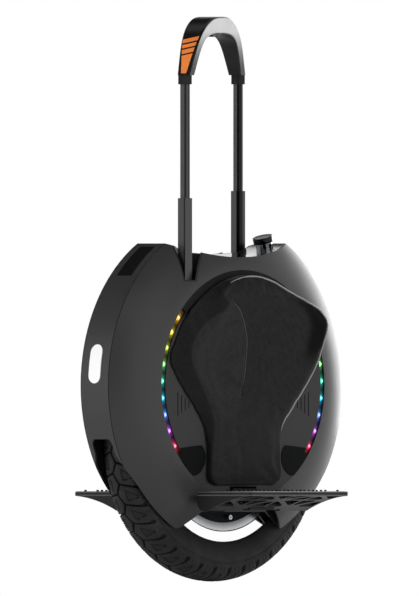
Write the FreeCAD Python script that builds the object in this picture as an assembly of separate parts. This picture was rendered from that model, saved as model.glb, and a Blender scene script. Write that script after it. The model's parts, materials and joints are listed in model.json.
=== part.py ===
"""Electric unicycle with a telescopic trolley handle, folding pedals and knee pads.

Millimetres. X is the riding direction, Y the rider's left, Z up. The origin is the tyre's
contact point, so the wheel's axle lies straight above it.
"""
import FreeCAD
import Part
import math
import os

# Wheel: a 16 inch tyre with a hub motor
tyre_radius = 216.5
tyre_half_width = 32.0
tyre_crown_radius = 47.0
tyre_shoulder_y = 27.5
tyre_crown_rise = 29.5
bead_seat_radius = 150.3
bead_half_width = 20.2
flange_radius = 155.0
flange_half_width = 25.5
flange_thickness = 5.0
flange_inner_radius = 139.8
rim_well_radius = 142.0
rim_half_width = 22.0
rim_inner_radius = 112.0
cover_thickness = 3.2
cover_dish_margin = 6.0
cover_dish_radius = 126.0
cover_dish_depth = 0.8
cover_hub_radius = 30.0
air_tube_radius = 25.7
air_tube_wall = 2.0
tread_thickness = 7.8
magnet_thickness = 5.0
magnet_half_width = 13.0
stator_half_width = 12.0
stator_window_radius = 27.0
stator_window_circle = 58.0
motor_air_gap = 1.0
bearing_outer_radius = 19.0
bearing_inner_y = 16.0
bearing_width = 9.0
axle_core_radius = 14.0
axle_core_half = 15.0
axle_seat_radius = 10.0
axle_end_radius = 8.0
axle_seat_half = 31.0
axle_half_length = 50.0
cover_bolt_circle = 117.0
cover_bolt_radius = 4.0
cover_bolt_count = 6
cover_bolt_length = 10.0
cover_bolt_head = 2.0
valve_radius = 3.6
valve_circle = 118.0
valve_angle = 264.9
valve_depth = 12.0
valve_reach = 6.0
tread_blocks = 40
tread_depth = 4.0
tread_gap = 4.5
tread_gap_inner_y = 13.0
tread_gap_foot = 9.0
tread_gap_slant = 16.0
zigzag_width = 3.2
zigzag_half = 6.0
axle_nut_flats = 12.0
axle_nut_height = 8.0
stator_slot_count = 36
stator_slot_radius = 3.0
stator_slot_inset = 6.0

# Body: a domed drum around its own centre, above the axle
body_centre_z = 302.0
body_radius = 254.5
band_half_width = 30.4
light_ring_radius = 177.5
panel_y = 68.5
dome_radius = 134.0
shell_wall = 3.0
saddle_low_z = 499.0
saddle_radius = 413.0
guard_opening_z = 219.0
guard_opening_half = 36.0
guard_flare_z = 135.0
guard_top_half = 15.0
guard_neck_half = 21.5
seam_width = 1.2
seam_depth = 1.5
lower_cut_top_half = 59.3
lobe_slope = 41.0
lobe_round = 8.0
lower_cut_top_z = 126.0
plate_inner_y = 34.5
plate_thickness = 3.5
plate_bottom_z = 107.0
arch_clearance = 7.5
arch_wall = 2.5
arch_end_angle = 2.0
light_channel_width = 8.6
light_channel_depth = 4.0
channel_floor = 2.5
channel_lip = 2.0
bead_radius = 3.8
bead_height = 2.5
bead_first_angle = 37.0
bead_step_angle = 8.7
bead_count = 9
bead_margin_angle = 5.0
sound_slot_count = 4
sound_slot_least = 6.0
sound_slot_growth = 4.0
sound_slot_step = 8.0
sound_slot_width = 2.5
sound_slot_depth = 1.2
hanger_clearance = 3.0

# Handle: two diagonal posts of three nested square tubes under one arched grip
post_x = 107.7
post_y = 50.0
inner_tube_size = 10.4
sleeve_size = 15.5
guide_size = 19.5
guide_wall = 1.7
tube_wall = 2.0
tube_corner = 3.0
guide_top_z = 464.0
guide_bottom_z = 245.0
sleeve_bottom_z = 429.0
front_sleeve_top_z = 590.0
rear_sleeve_top_z = 601.0
inner_tube_bottom_z = 556.0
collar_size = 14.8
collar_bottom_z = 765.0
grip_bottom_z = 779.0
grip_crown_z = 869.0
grip_crown_depth = 26.0
grip_foot_outer = 126.5
grip_foot_inner = 103.0
grip_foot_half = 10.0
grip_crown_half = 18.0
grip_edge_round = 2.5
inlay_thickness = 0.8
pocket_half = 17.0
pocket_inner_half = 11.0
pocket_mouth_half = 18.0
pocket_front_x = 121.0
pocket_wall = 2.0
pocket_leg_gap = 7.0
pocket_bend_rise = 16.0
pocket_bend_run = 14.0
pocket_bend_height = 25.0
pocket_mouth_run = 44.0
pocket_height = 90.0
release_length = 28.0
release_width = 13.0
release_height = 10.0
release_travel = 3.0
release_round = 2.0
inlay_groove_start = 5.0
inlay_groove_step = 8.0
inlay_groove_rise = 9.0
inlay_groove_width = 1.2

# Pedals
hinge_y = 92.0
hinge_z = 122.0
hinge_pin_radius = 4.0
knuckle_radius = 12.0
knuckle_half = 27.0
lug_inner = 28.0
hanger_half = 45.0
hanger_face_y = 75.5
hanger_bottom_z = 107.5
hanger_shoulder_z = 134.0
hanger_neck_half = 26.0
hanger_chamfer = 3.0
hanger_top_z = 143.5
pedal_half = 107.0
pedal_top_z = 138.0
pedal_root_y = 76.0
pedal_outer_y = 192.0
pedal_edge = 6.0
pedal_root_bottom_z = 109.0
pedal_root_depth = 24.0
pedal_root_bevel_y = 7.0
pedal_root_bevel_z = 9.0
knuckle_room = 2.0
pedal_web = 4.0
lug_root = 5.0
pedal_hollow = 4.6
pedal_deck = 4.5
pedal_rib = 5.0
pedal_corner = 4.0
pocket_corner = 4.0
pocket_bays = 4
stud_radius = 2.0
stud_height = 3.2
stud_rows = 4
stud_columns = 8
stud_edge = 10.0
stud_side = 15.0

# Lamps, buttons and trim
headlight_z = 335.0
headlight_height = 60.0
headlight_width = 25.0
lens_proud = 1.0
lens_depth = 5.0
reflector_rim = 4.0
reflector_lip = 1.0
reflector_floor = 2.0
window_depth = 2.0
window_inset = 0.4
window_near_x = 50.0
window_far_x = 250.0
button_bore_depth = 8.0
button_stem_length = 7.0
charge_floor = 2.0
speaker_cone_depth = 8.0
# The kidney's four arcs, each by its start, middle and end (x, z) from the grille's middle
grille_outline = [((-20, 24), (8, 21.5), (44, 17)), ((44, 17), (32, -3), (10, -19)),
                  ((10, -19), (-9, -22), (-23, -11)), ((-23, -11), (-28.5, 9), (-20, 24))]
reflector_depth = 9.0
window_half = 16.0
window_low_z = 471.0
window_high_z = 515.0
saddle_wall = 3.0
button_inset = 15.8
button_base_radius = 13.0
button_base_height = 8.7
button_cap_radius = 15.5
button_cap_height = 4.0
button_travel = 3.0
button_stem_radius = 6.0
charge_bore_radius = 8.0
charge_wall = 3.0
charge_flange = 14.0
charge_rise = 5.0
charge_inset = 26.8
charge_depth = 15.0
speaker_inset = 32.5
speaker_angle = 46.4
speaker_radius = 20.0
speaker_magnet_radius = 12.0
speaker_depth = 20.0
grille_inset = 16.9
grille_angle = 46.3
grille_thickness = 1.2
sound_slot_inset = 47.5
sound_slot_z = 273.0
battery_inner = 140.0
battery_outer = 205.0
battery_spread = 30.0
battery_depth = 18.5
control_box_half_x = 60.0
control_box_half_y = 33.0
control_box_drop = 14.0

# Knee pad: height, front and rear half widths, ridge from the middle, then how far the ridge,
# the crease and the rear wing stand out from the pad's plain face
pad_levels = [
    (149, 64, 61, 58, -3.0, -2.0, -3.0),
    (160, 76, 70, 66, 1.0, 2.0, 0.5),
    (200, 76, 71, 67, 1.2, 2.2, 1.0),
    (238, 84, 76, 75, 1.2, 2.0, 2.0),
    (266, 99, 97, 90, 0.2, 0.0, 4.0),
    (293, 119, 115, 106, -0.4, -2.2, 8.0),
    (320, 140, 128, 115, 0.0, -3.2, 14.0),
    (345, 155, 137, 119, 1.0, -3.2, 20.0),
    (372, 152, 141, 104, 1.6, -2.6, 25.0),
    (398, 136, 143, 79, 2.2, -1.2, 27.0),
    (420, 112, 125, 55, 3.8, 1.6, 25.0),
    (440, 86, 88, 38, 6.0, 5.6, 20.0),
    (458, 54, 57, 25, 7.4, 8.0, 14.0),
    (471, 16, 18, 8, 6.4, 7.4, 9.0),
]
pad_thickness = 9.7
pad_foot = 1.5
pad_roll = 4.0

# Clearances
fit_gap = 0.2
running_gap = 0.05
sliding_gap = 0.3
pad_gap = 0.3


def vec(x, y, z):
    return FreeCAD.Vector(x, y, z)


axle_z = tyre_radius
tyre_widest_radius = tyre_radius - tyre_crown_rise
arch_inner_radius = tyre_radius + arch_clearance
grip_under_z = grip_crown_z - grip_crown_depth
saddle_gap = saddle_low_z + saddle_radius - body_centre_z
saddle_end_z = (saddle_gap ** 2 + body_radius ** 2 - saddle_radius ** 2) / (2 * saddle_gap)
saddle_end_x = math.sqrt(body_radius ** 2 - saddle_end_z ** 2)
button_x = saddle_end_x - button_inset
charge_x = saddle_end_x - charge_inset
air_tube_ring_radius = tyre_radius - tread_thickness - air_tube_radius
speaker_x = (light_ring_radius - speaker_inset) * math.cos(math.radians(speaker_angle))
speaker_z = body_centre_z - (light_ring_radius - speaker_inset) * math.sin(math.radians(speaker_angle))
grille_x = (light_ring_radius - grille_inset) * math.cos(math.radians(grille_angle))
grille_z = body_centre_z - (light_ring_radius - grille_inset) * math.sin(math.radians(grille_angle))
sound_slot_x = light_ring_radius - sound_slot_inset
control_box_top_z = saddle_low_z - control_box_drop
y_axis = vec(0, 1, 0)
z_axis = vec(0, 0, 1)
axle_point = vec(0, 0, axle_z)
body_point = vec(0, 0, body_centre_z)


def block(x0, x1, y0, y1, z0, z1):
    return Part.makeBox(x1 - x0, y1 - y0, z1 - z0, vec(x0, y0, z0))


def disc(radius, y0, y1, x=0.0, z=axle_z):
    return Part.makeCylinder(radius, y1 - y0, vec(x, y0, z), y_axis)


def ring(inner, outer, y0, y1, x=0.0, z=axle_z):
    return disc(outer, y0, y1, x, z).cut(disc(inner, y0, y1, x, z))


def turned(edges, centre_z):
    """A solid turned about the axle's direction from edges drawn at x = 0."""
    face = Part.Face(Part.Wire(Part.sortEdges(edges)[0]))
    return face.revolve(vec(0, 0, centre_z), y_axis, 360)


def radial(radius, y, centre_z):
    """A point of a turned profile."""
    return vec(0, y, centre_z + radius)


def lines(points):
    return Part.makePolygon(points).Edges


def arc(start, middle, end):
    return Part.Arc(start, middle, end).toShape()


def prism_y(points, y0, y1):
    """A prism along Y from (x, z) points."""
    corners = [vec(x, y0, z) for x, z in points]
    face = Part.Face(Part.makePolygon(corners + [corners[0]]))
    return face.extrude(vec(0, y1 - y0, 0))


def prism_x(points, x0, x1):
    """A prism along X from (y, z) points."""
    corners = [vec(x0, y, z) for y, z in points]
    face = Part.Face(Part.makePolygon(corners + [corners[0]]))
    return face.extrude(vec(x1 - x0, 0, 0))


def mirrored(shape):
    """The same piece on the rider's right."""
    return shape.mirror(vec(0, 0, 0), y_axis)


def turned_round(shape):
    """The same piece half a turn about the vertical: front left goes to rear right."""
    other = shape.copy()
    other.rotate(vec(0, 0, 0), z_axis, 180)
    return other


def group(shapes):
    return Part.makeCompound(shapes)


def spun(shape, angle, centre=axle_point):
    other = shape.copy()
    other.rotate(centre, y_axis, -angle)
    return other


# Wheel

def crown_at(y):
    """The tyre's radius at a distance from its middle, over the crown."""
    return tyre_radius - tyre_crown_radius + math.sqrt(tyre_crown_radius ** 2 - y ** 2)


def tyre():
    def at(radius, y):
        return radial(radius, y, axle_z)

    shoulder = crown_at(tyre_shoulder_y)
    lip = flange_radius + 2 * fit_gap
    half = []
    for side in (1, -1):
        half.append(arc(at(lip + 2, side * flange_half_width), at(tyre_widest_radius, side * tyre_half_width),
                        at(shoulder, side * tyre_shoulder_y)))
        half += lines([at(bead_seat_radius, side * bead_half_width), at(lip, side * bead_half_width),
                       at(lip + 2, side * flange_half_width)])
    crown = arc(at(shoulder, tyre_shoulder_y), at(tyre_radius, 0), at(shoulder, -tyre_shoulder_y))
    foot = lines([at(bead_seat_radius, bead_half_width), at(bead_seat_radius, -bead_half_width)])
    carcass = turned(half + [crown] + foot, axle_z)
    cavity = Part.makeTorus(air_tube_ring_radius, air_tube_radius + sliding_gap, axle_point, y_axis)
    throat = ring(bead_seat_radius - 1, air_tube_ring_radius - 10, -bead_half_width + 6, bead_half_width - 6)
    return carcass.cut(cavity).cut(throat).cut(group(tread_gaps()))


def tread_gaps():
    """Slanted gaps between the shoulder blocks, and a zigzag groove round the middle."""
    pitch = 360.0 / tread_blocks
    height = tyre_radius - tread_depth
    chord = 2 * math.pi * tyre_radius / tread_blocks / 2
    slant = math.degrees(math.atan2(2 * zigzag_half, chord))
    length = math.hypot(2 * zigzag_half, chord)
    shoulder = crown_at(tyre_shoulder_y)
    outer_y = tyre_half_width + 2
    top = tyre_radius + 2
    points = [(tread_gap_inner_y, crown_at(tread_gap_inner_y) - tread_depth),
              (tyre_shoulder_y - tread_depth, shoulder - tread_depth / 2), (outer_y, shoulder - tread_gap_foot),
              (outer_y, top), (tread_gap_inner_y, top)]
    between = prism_x([(y, axle_z + radius) for y, radius in points], -tread_gap / 2, tread_gap / 2)
    between.rotate(vec(0, tread_gap_inner_y, 0), z_axis, tread_gap_slant)
    gaps = []
    for number in range(tread_blocks):
        for side in (1, -1):
            shift = side / 4
            gap = between if side > 0 else mirrored(between)
            gaps.append(spun(gap, (number + shift) * pitch))
            leg = block(-length / 2, length / 2, -zigzag_width / 2, zigzag_width / 2,
                        axle_z + height, axle_z + tyre_radius + 2)
            leg.rotate(vec(0, 0, 0), z_axis, side * slant)
            gaps.append(spun(leg, (number + shift) * pitch))
    return gaps


def inner_tube():
    skin = Part.makeTorus(air_tube_ring_radius, air_tube_radius, axle_point, y_axis)
    air = Part.makeTorus(air_tube_ring_radius, air_tube_radius - air_tube_wall, axle_point, y_axis)
    return skin.cut(air)


def valve_hole():
    return spun(disc(valve_radius + fit_gap, 0, flange_half_width + 20, valve_circle, axle_z), valve_angle)


def rim():
    def at(radius, y):
        return radial(radius, y, axle_z)

    seat_half = flange_half_width - flange_thickness
    points = []
    for side in (1, -1):
        half = [at(rim_inner_radius, side * rim_half_width), at(flange_inner_radius, side * rim_half_width),
                at(flange_inner_radius, side * flange_half_width), at(flange_radius, side * flange_half_width),
                at(flange_radius, side * seat_half), at(bead_seat_radius - fit_gap, side * seat_half),
                at(bead_seat_radius - fit_gap, side * (seat_half - 6)), at(rim_well_radius, side * 9)]
        points += half if side > 0 else half[::-1]
    hoop = turned(lines(points + [points[0]]), axle_z)
    return hoop.cut(valve_hole()).cut(group(cover_bolt_solids(fit_gap)))


def motor_cover():
    """The left cover: a dished disc with a bearing hub and a bright machined edge."""
    face_y = rim_half_width + cover_thickness
    plate = ring(bearing_outer_radius, flange_inner_radius - fit_gap, rim_half_width, face_y)
    hub = ring(bearing_outer_radius, cover_hub_radius, bearing_inner_y, rim_half_width)
    dish = ring(cover_hub_radius + cover_dish_margin, cover_dish_radius, face_y - cover_dish_depth, face_y + 1)
    cover = plate.fuse(hub).removeSplitter().cut(dish)
    return cover.cut(valve_hole()).cut(group(cover_bolt_solids(fit_gap)))


def cover_bolt_solids(gap=0.0):
    """The left cover's cap screws, or their holes with a gap."""
    seat = rim_half_width + cover_thickness - cover_dish_depth
    bolts = []
    for number in range(cover_bolt_count):
        shank = disc(cover_bolt_radius / 2 + gap, seat - cover_bolt_length, seat, cover_bolt_circle)
        if gap == 0.0:
            shank = shank.fuse(disc(cover_bolt_radius, seat, seat + cover_bolt_head, cover_bolt_circle))
            shank = shank.removeSplitter()
        else:
            shank = disc(cover_bolt_radius / 2 + gap, seat - cover_bolt_length - gap, seat + 2, cover_bolt_circle)
        bolts.append(spun(shank, number * 360.0 / cover_bolt_count))
        if gap > 0.0:
            bolts.append(mirrored(bolts[-1]))
    return bolts


def cover_bolts():
    left = cover_bolt_solids()
    return group(left + [mirrored(bolt) for bolt in left])


def valve_stem():
    face_y = rim_half_width + cover_thickness
    stem = disc(valve_radius, valve_depth, face_y + valve_reach, valve_circle)
    tip = disc(valve_radius / 2, face_y + valve_reach - 2, face_y + valve_reach, valve_circle)
    return spun(stem.cut(tip), valve_angle)


def magnets():
    return ring(rim_inner_radius - magnet_thickness, rim_inner_radius, -magnet_half_width, magnet_half_width)


def bearings():
    race = ring(axle_seat_radius + running_gap, bearing_outer_radius,
                bearing_inner_y, bearing_inner_y + bearing_width)
    return group([race, mirrored(race)])


def axle():
    core = disc(axle_core_radius, -axle_core_half, axle_core_half)
    seat = disc(axle_seat_radius, -axle_seat_half, axle_seat_half)
    ends = disc(axle_end_radius, -axle_half_length, axle_half_length)
    return core.fuse([seat, ends]).removeSplitter()


def stator():
    outer = rim_inner_radius - magnet_thickness - motor_air_gap
    body = ring(axle_core_radius, outer, -stator_half_width, stator_half_width)
    slot = disc(stator_slot_radius, -stator_half_width - 1, stator_half_width + 1, outer - stator_slot_inset)
    slots = [spun(slot, n * 360.0 / stator_slot_count) for n in range(stator_slot_count)]
    windows = [spun(disc(stator_window_radius, -stator_half_width - 1, stator_half_width + 1, stator_window_circle),
                    n * 60) for n in range(6)]
    return body.cut(group(slots + windows))


def axle_nuts():
    outer_y = plate_inner_y + plate_thickness
    top_y = outer_y + axle_nut_height
    corner = axle_nut_flats / math.cos(math.pi / 6)
    points = [(corner * math.cos(n * math.pi / 3), axle_z + corner * math.sin(n * math.pi / 3)) for n in range(6)]
    nut = prism_y(points, outer_y, top_y).cut(disc(axle_end_radius, outer_y, top_y))
    return group([nut, mirrored(nut)])


# Body

def dome_middle():
    """Centre of the dome's arc, from the light ring to the crease beside the band."""
    half_r = (body_radius - light_ring_radius) / 2
    half_y = (band_half_width - panel_y) / 2
    half = math.hypot(half_r, half_y)
    reach = math.sqrt(dome_radius ** 2 - half ** 2)
    middle_r = light_ring_radius + half_r + half_y / half * reach
    middle_y = panel_y + half_y - half_r / half * reach
    return middle_r, middle_y


def dome_height(radius, inset=0.0):
    """Distance of the dome from the middle plane at a radius from the body's centre."""
    middle_r, middle_y = dome_middle()
    return middle_y + math.sqrt((dome_radius - inset) ** 2 - (radius - middle_r) ** 2)


def dome_reach(y, inset=0.0):
    """Radius of the dome at a distance from the middle plane."""
    middle_r, middle_y = dome_middle()
    return middle_r + math.sqrt((dome_radius - inset) ** 2 - (y - middle_y) ** 2)


def at_body(radius, y):
    return radial(radius, y, body_centre_z)


def dome_arc(inner, outer, inset, side=1):
    def spot(radius):
        return at_body(radius, side * dome_height(radius, inset))

    return arc(spot(inner), spot((inner + outer) / 2), spot(outer))


def body_solid(inset=0.0):
    """The whole drum, or the room inside its wall."""
    flat_y = panel_y - inset
    inner = dome_reach(flat_y, inset)
    outer = body_radius - inset
    edge_y = dome_height(outer, inset)
    edges = lines([at_body(0, flat_y), at_body(inner, flat_y)])
    edges += [dome_arc(inner, outer, inset), dome_arc(inner, outer, inset, -1)]
    edges += lines([at_body(outer, edge_y), at_body(outer, -edge_y)])
    edges += lines([at_body(inner, -flat_y), at_body(0, -flat_y), at_body(0, flat_y)])
    return turned(edges, body_centre_z)


def saddle_void(drop=0.0):
    """The room above the hollow saddle, or above a surface that lies lower."""
    return disc(saddle_radius + drop, -body_radius, body_radius, 0, saddle_low_z + saddle_radius)


def lower_outline(radius, top_z, edge_round, y0, y1):
    """A disc with the rising cut below the pedal, its two lobes rounded."""
    run = 1 / math.tan(math.radians(lobe_slope))
    top_half = lower_cut_top_half + (lower_cut_top_z - top_z) * run
    foot_half = lower_cut_top_half + lower_cut_top_z * run
    cut = prism_y([(-top_half, top_z), (top_half, top_z), (foot_half, 0), (-foot_half, 0)], y0, y1)
    outline = disc(radius, y0, y1, 0, body_centre_z).cut(cut)
    tips = [edge for edge in outline.Edges
            if abs(edge.BoundBox.YLength - (y1 - y0)) < 0.01 and edge.BoundBox.ZMax < top_z - 1]
    slopes = [edge.Length for edge in outline.Edges
              if edge.BoundBox.XLength > 1 and edge.BoundBox.ZLength > 1 and edge.Curve.TypeId == "Part::GeomLine"]
    rounded = min([edge_round] + [0.8 * slope for slope in slopes])
    return outline.makeFillet(rounded, tips) if tips else outline


def guard_opening():
    """The opening in the front and rear where the tyre comes out, flaring from a rounded top to the tyre's width."""
    low = guard_flare_z
    rise = guard_opening_z - low
    neck = guard_neck_half
    flare = guard_opening_half - neck
    side = [(guard_opening_half, low), (neck + 0.93 * flare, low + 0.18 * rise), (neck + 0.72 * flare, low + 0.4 * rise),
            (neck + 0.38 * flare, low + 0.58 * rise), (neck, low + 0.77 * rise), (neck - 0.5, low + 0.92 * rise),
            (guard_top_half, guard_opening_z)]
    reach = body_radius + 10
    edges = []
    for mirror in (1, -1):
        curve = Part.BSplineCurve()
        curve.interpolate([vec(-reach, mirror * y, z) for y, z in side])
        edges.append(curve.toShape())
    edges += lines([vec(-reach, guard_top_half, guard_opening_z), vec(-reach, -guard_top_half, guard_opening_z)])
    half = guard_opening_half
    edges += lines([vec(-reach, half, low), vec(-reach, half, 0), vec(-reach, -half, 0), vec(-reach, -half, low)])
    face = Part.Face(Part.Wire(Part.sortEdges(edges)[0]))
    return face.extrude(vec(2 * reach, 0, 0))


def left_shell():
    """A domed side moulding, open round the side panel and cut for pocket, saddle and pedal."""
    inner_edge = dome_reach(band_half_width, shell_wall)
    edges = [dome_arc(light_ring_radius, body_radius, 0), dome_arc(light_ring_radius, inner_edge, shell_wall)]
    edges += lines([at_body(body_radius, band_half_width), at_body(inner_edge, band_half_width)])
    edges += lines([at_body(light_ring_radius, dome_height(light_ring_radius, shell_wall)),
                    at_body(light_ring_radius, panel_y)])
    dome = turned(edges, body_centre_z)
    free_edge = dome_reach(guard_opening_half)
    keep = lower_outline(free_edge, lower_cut_top_z, lobe_round, 0, panel_y + 1)
    above = block(-body_radius - 1, body_radius + 1, 0, panel_y + 1,
                  guard_flare_z, body_centre_z + body_radius + 1)
    dome = dome.common(keep.fuse(above))
    dome = dome.cut(saddle_void()).cut(guard_opening()).cut(hanger_gap())
    return dome.cut(pocket_room(pocket_wall + fit_gap))


def band():
    """The front band between the two shells, from the saddle to the tyre opening."""
    hoop = ring(body_radius - shell_wall, body_radius, -band_half_width, band_half_width, 0, body_centre_z)
    front = block(0, body_radius + 1, -band_half_width, band_half_width, 0, body_centre_z + body_radius + 1)
    strip = hoop.common(front).cut(saddle_void()).cut(guard_opening())
    groove = ring(body_radius - seam_depth, body_radius + 1, band_half_width - seam_width, band_half_width + 1,
                  0, body_centre_z)
    strip = strip.cut(groove).cut(mirrored(groove))
    return strip.cut(lamp_pill(fit_gap)).cut(window_block(fit_gap))


def saddle_top():
    """The hollow top plate between the shells."""
    layer = saddle_void(saddle_wall).cut(saddle_void())
    plate = body_solid(shell_wall + fit_gap).common(layer)
    plate = plate.cut(pocket_room(pocket_wall + fit_gap)).cut(turned_round(pocket_room(pocket_wall + fit_gap)))
    return plate.cut(charge_cylinder(charge_bore_radius + charge_wall + fit_gap, -charge_depth, 10))


def frame_plate():
    """The left carrying plate: holds the axle, the hanger and the shell."""
    outer_y = plate_inner_y + plate_thickness
    radius = dome_reach(outer_y, shell_wall) - 2 * fit_gap
    plate = lower_outline(radius, plate_bottom_z, lobe_round / 2, plate_inner_y, outer_y)
    plate = plate.cut(saddle_void(saddle_wall + fit_gap)).cut(disc(axle_end_radius, 0, panel_y))
    return plate.cut(pocket_room(pocket_wall + fit_gap)).cut(turned_round(pocket_room(pocket_wall + fit_gap)))


def wheel_arch():
    guard = ring(arch_inner_radius, arch_inner_radius + arch_wall, -plate_inner_y, plate_inner_y)
    end_z = axle_z + arch_inner_radius * math.sin(math.radians(arch_end_angle))
    reach = arch_inner_radius + arch_wall
    return guard.common(block(-reach, reach, -plate_inner_y, plate_inner_y, end_z, axle_z + reach))


def panel_edge():
    return light_ring_radius - light_channel_width - fit_gap


def hanger_gap():
    """The notch in panel and shell for the pedal's bracket, wide below and narrow above."""
    gap = hanger_clearance
    low = block(-hanger_half - gap, hanger_half + gap, 0, panel_y + 10, 0, hanger_shoulder_z + gap)
    return low.fuse(block(-hanger_neck_half - gap, hanger_neck_half + gap, 0, panel_y + 10, 0, hanger_top_z + gap))


def sound_slots(side):
    """Graded upright slots beside the pad."""
    slots = []
    for number in range(sound_slot_count):
        half = sound_slot_least + sound_slot_growth * number
        x = side * (sound_slot_x + sound_slot_step * (number - (sound_slot_count - 1) / 2))
        slots.append(block(x - sound_slot_width / 2, x + sound_slot_width / 2, panel_y - sound_slot_depth,
                           panel_y + 1, sound_slot_z - half, sound_slot_z + half))
    return slots


def light_sectors(y0, y1, grow=0.0):
    """The front and rear sectors of the body that hold the light beads."""
    first = bead_first_angle + bead_margin_angle + grow
    last = bead_first_angle - (bead_count - 1) * bead_step_angle - bead_margin_angle - grow
    reach = 2 * light_ring_radius
    points = [(0.0, body_centre_z)]
    for angle in (last, (first + last) / 2, first):
        turn = math.radians(angle)
        points.append((reach * math.cos(turn), body_centre_z + reach * math.sin(turn)))
    front = prism_y(points, y0, y1)
    return front.fuse(prism_y([(-x, z) for x, z in points], y0, y1))


def side_panel():
    """The flat panel inside the dome, notched for the light channels and slotted for sound."""
    low_y = panel_y - shell_wall
    panel = disc(light_ring_radius - fit_gap, low_y, panel_y, 0, body_centre_z)
    groove = ring(panel_edge(), light_ring_radius + 1, low_y, panel_y, 0, body_centre_z)
    panel = panel.cut(groove.common(light_sectors(low_y, panel_y)))
    return panel.cut(hanger_gap()).cut(group(sound_slots(1) + sound_slots(-1)))


def light_channel():
    """The front and rear troughs behind the panel that carry the beads."""
    base_y = panel_y - light_channel_depth
    low_y = base_y - channel_floor
    top_y = panel_y - shell_wall - fit_gap
    outer = light_ring_radius - fit_gap
    floor = ring(panel_edge() - channel_lip, outer, low_y, base_y, 0, body_centre_z)
    wall = ring(panel_edge() - channel_lip, panel_edge(), base_y, top_y, 0, body_centre_z)
    trough = floor.fuse(wall).removeSplitter()
    return trough.common(light_sectors(low_y, top_y))


def leds():
    """Light beads in the channel, on its front and rear arcs."""
    base_y = panel_y - light_channel_depth
    bead_circle = light_ring_radius - light_channel_width / 2
    beads = []
    for number in range(bead_count):
        angle = bead_first_angle - number * bead_step_angle
        for turn in (angle, 180 - angle):
            bead = disc(bead_radius, base_y, base_y + bead_height, bead_circle, body_centre_z)
            beads.append(spun(bead, turn, body_point))
    return group(beads)


def pill(half_width, low_z, high_z, y_middle, x0, x1):
    core = block(x0, x1, y_middle - half_width, y_middle + half_width, low_z + half_width, high_z - half_width)
    ends = [Part.makeCylinder(half_width, x1 - x0, vec(x0, y_middle, z), vec(1, 0, 0))
            for z in (low_z + half_width, high_z - half_width)]
    return core.fuse(ends).removeSplitter()


def lamp_pill(grow=0.0):
    half = headlight_height / 2 + grow
    return pill(headlight_width / 2 + grow, headlight_z - half, headlight_z + half, 0, 200, 300)


def hoop_layer(inner, outer):
    return ring(inner, outer, -band_half_width, band_half_width, 0, body_centre_z)


def lamp_lens():
    return lamp_pill().common(hoop_layer(body_radius - lens_depth, body_radius + lens_proud))


def lamp_reflector():
    outer = body_radius - lens_depth - fit_gap
    cup = lamp_pill(reflector_rim).common(hoop_layer(outer - reflector_depth, outer))
    return cup.cut(lamp_pill(-reflector_lip).common(hoop_layer(outer - reflector_depth + reflector_floor, outer + 1)))


def window_block(grow=0.0):
    return block(window_near_x, window_far_x, -window_half - grow, window_half + grow,
                 window_low_z - grow, window_high_z + grow)


def window():
    return window_block().common(hoop_layer(body_radius - shell_wall - window_depth, body_radius - window_inset))


def saddle_frame(shape, x):
    """Stands a piece drawn at the origin square on the saddle at a distance along it."""
    lean = math.degrees(math.asin(x / saddle_radius))
    z = saddle_low_z + saddle_radius * (1 - math.cos(math.radians(lean)))
    shape.rotate(vec(0, 0, 0), y_axis, -lean)
    shape.translate(vec(x, 0, z))
    return shape


def upright(radius, z0, z1):
    return Part.makeCylinder(radius, z1 - z0, vec(0, 0, z0), z_axis)


def power_button_base():
    base = upright(button_base_radius, fit_gap, button_base_height)
    bore = upright(button_stem_radius + sliding_gap, button_base_height - button_bore_depth, button_base_height)
    return saddle_frame(base.cut(bore), -button_x)


def power_button():
    low = button_base_height + button_travel + sliding_gap
    cap = upright(button_cap_radius, low, low + button_cap_height)
    stem = upright(button_stem_radius, low - button_stem_length, low)
    return saddle_frame(cap.fuse(stem).removeSplitter(), -button_x)


def charge_cylinder(radius, z0, z1):
    """An upright round at the charging socket, from heights above the saddle there."""
    base_z = saddle_low_z + saddle_radius - math.sqrt(saddle_radius ** 2 - charge_x ** 2)
    round_bar = upright(radius, z0, z1)
    round_bar.translate(vec(charge_x, 0, base_z))
    return round_bar


def charge_port():
    """A round upright charging socket with a boss on the saddle."""
    body = charge_cylinder(charge_bore_radius + charge_wall, -charge_depth - charge_floor, charge_rise)
    boss = charge_cylinder(charge_flange, -charge_flange, charge_rise).common(saddle_void(-fit_gap))
    return body.fuse(boss).removeSplitter().cut(charge_cylinder(charge_bore_radius, -charge_depth, charge_rise + 1))


def four_corners(left_front):
    """A piece at the left front, and its like at the other three corners."""
    back = left_front.mirror(vec(0, 0, 0), vec(1, 0, 0))
    return [left_front, back, mirrored(left_front), mirrored(back)]


def speakers():
    front_y = panel_y - shell_wall - fit_gap
    back_y = front_y - speaker_cone_depth
    cone = disc(speaker_radius, back_y, front_y, speaker_x, speaker_z)
    magnet = disc(speaker_magnet_radius, front_y - speaker_depth, back_y, speaker_x, speaker_z)
    return group(four_corners(cone.fuse(magnet).removeSplitter()))


def speaker_grilles():
    """Low kidney covers over the speakers, following the panel's edge."""
    def at(x, z):
        return vec(grille_x + x, panel_y, grille_z + z)

    edges = [arc(*[at(*spot) for spot in spots]) for spots in grille_outline]
    face = Part.Face(Part.Wire(edges))
    cover = face.extrude(vec(0, grille_thickness, 0))
    top_y = panel_y + grille_thickness
    cover = cover.common(disc(light_ring_radius - 1, panel_y, top_y, 0, body_centre_z))
    lights = ring(panel_edge() - 1, light_ring_radius, panel_y, top_y, 0, body_centre_z)
    return group(four_corners(cover.cut(lights.common(light_sectors(panel_y, top_y)))))


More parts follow.
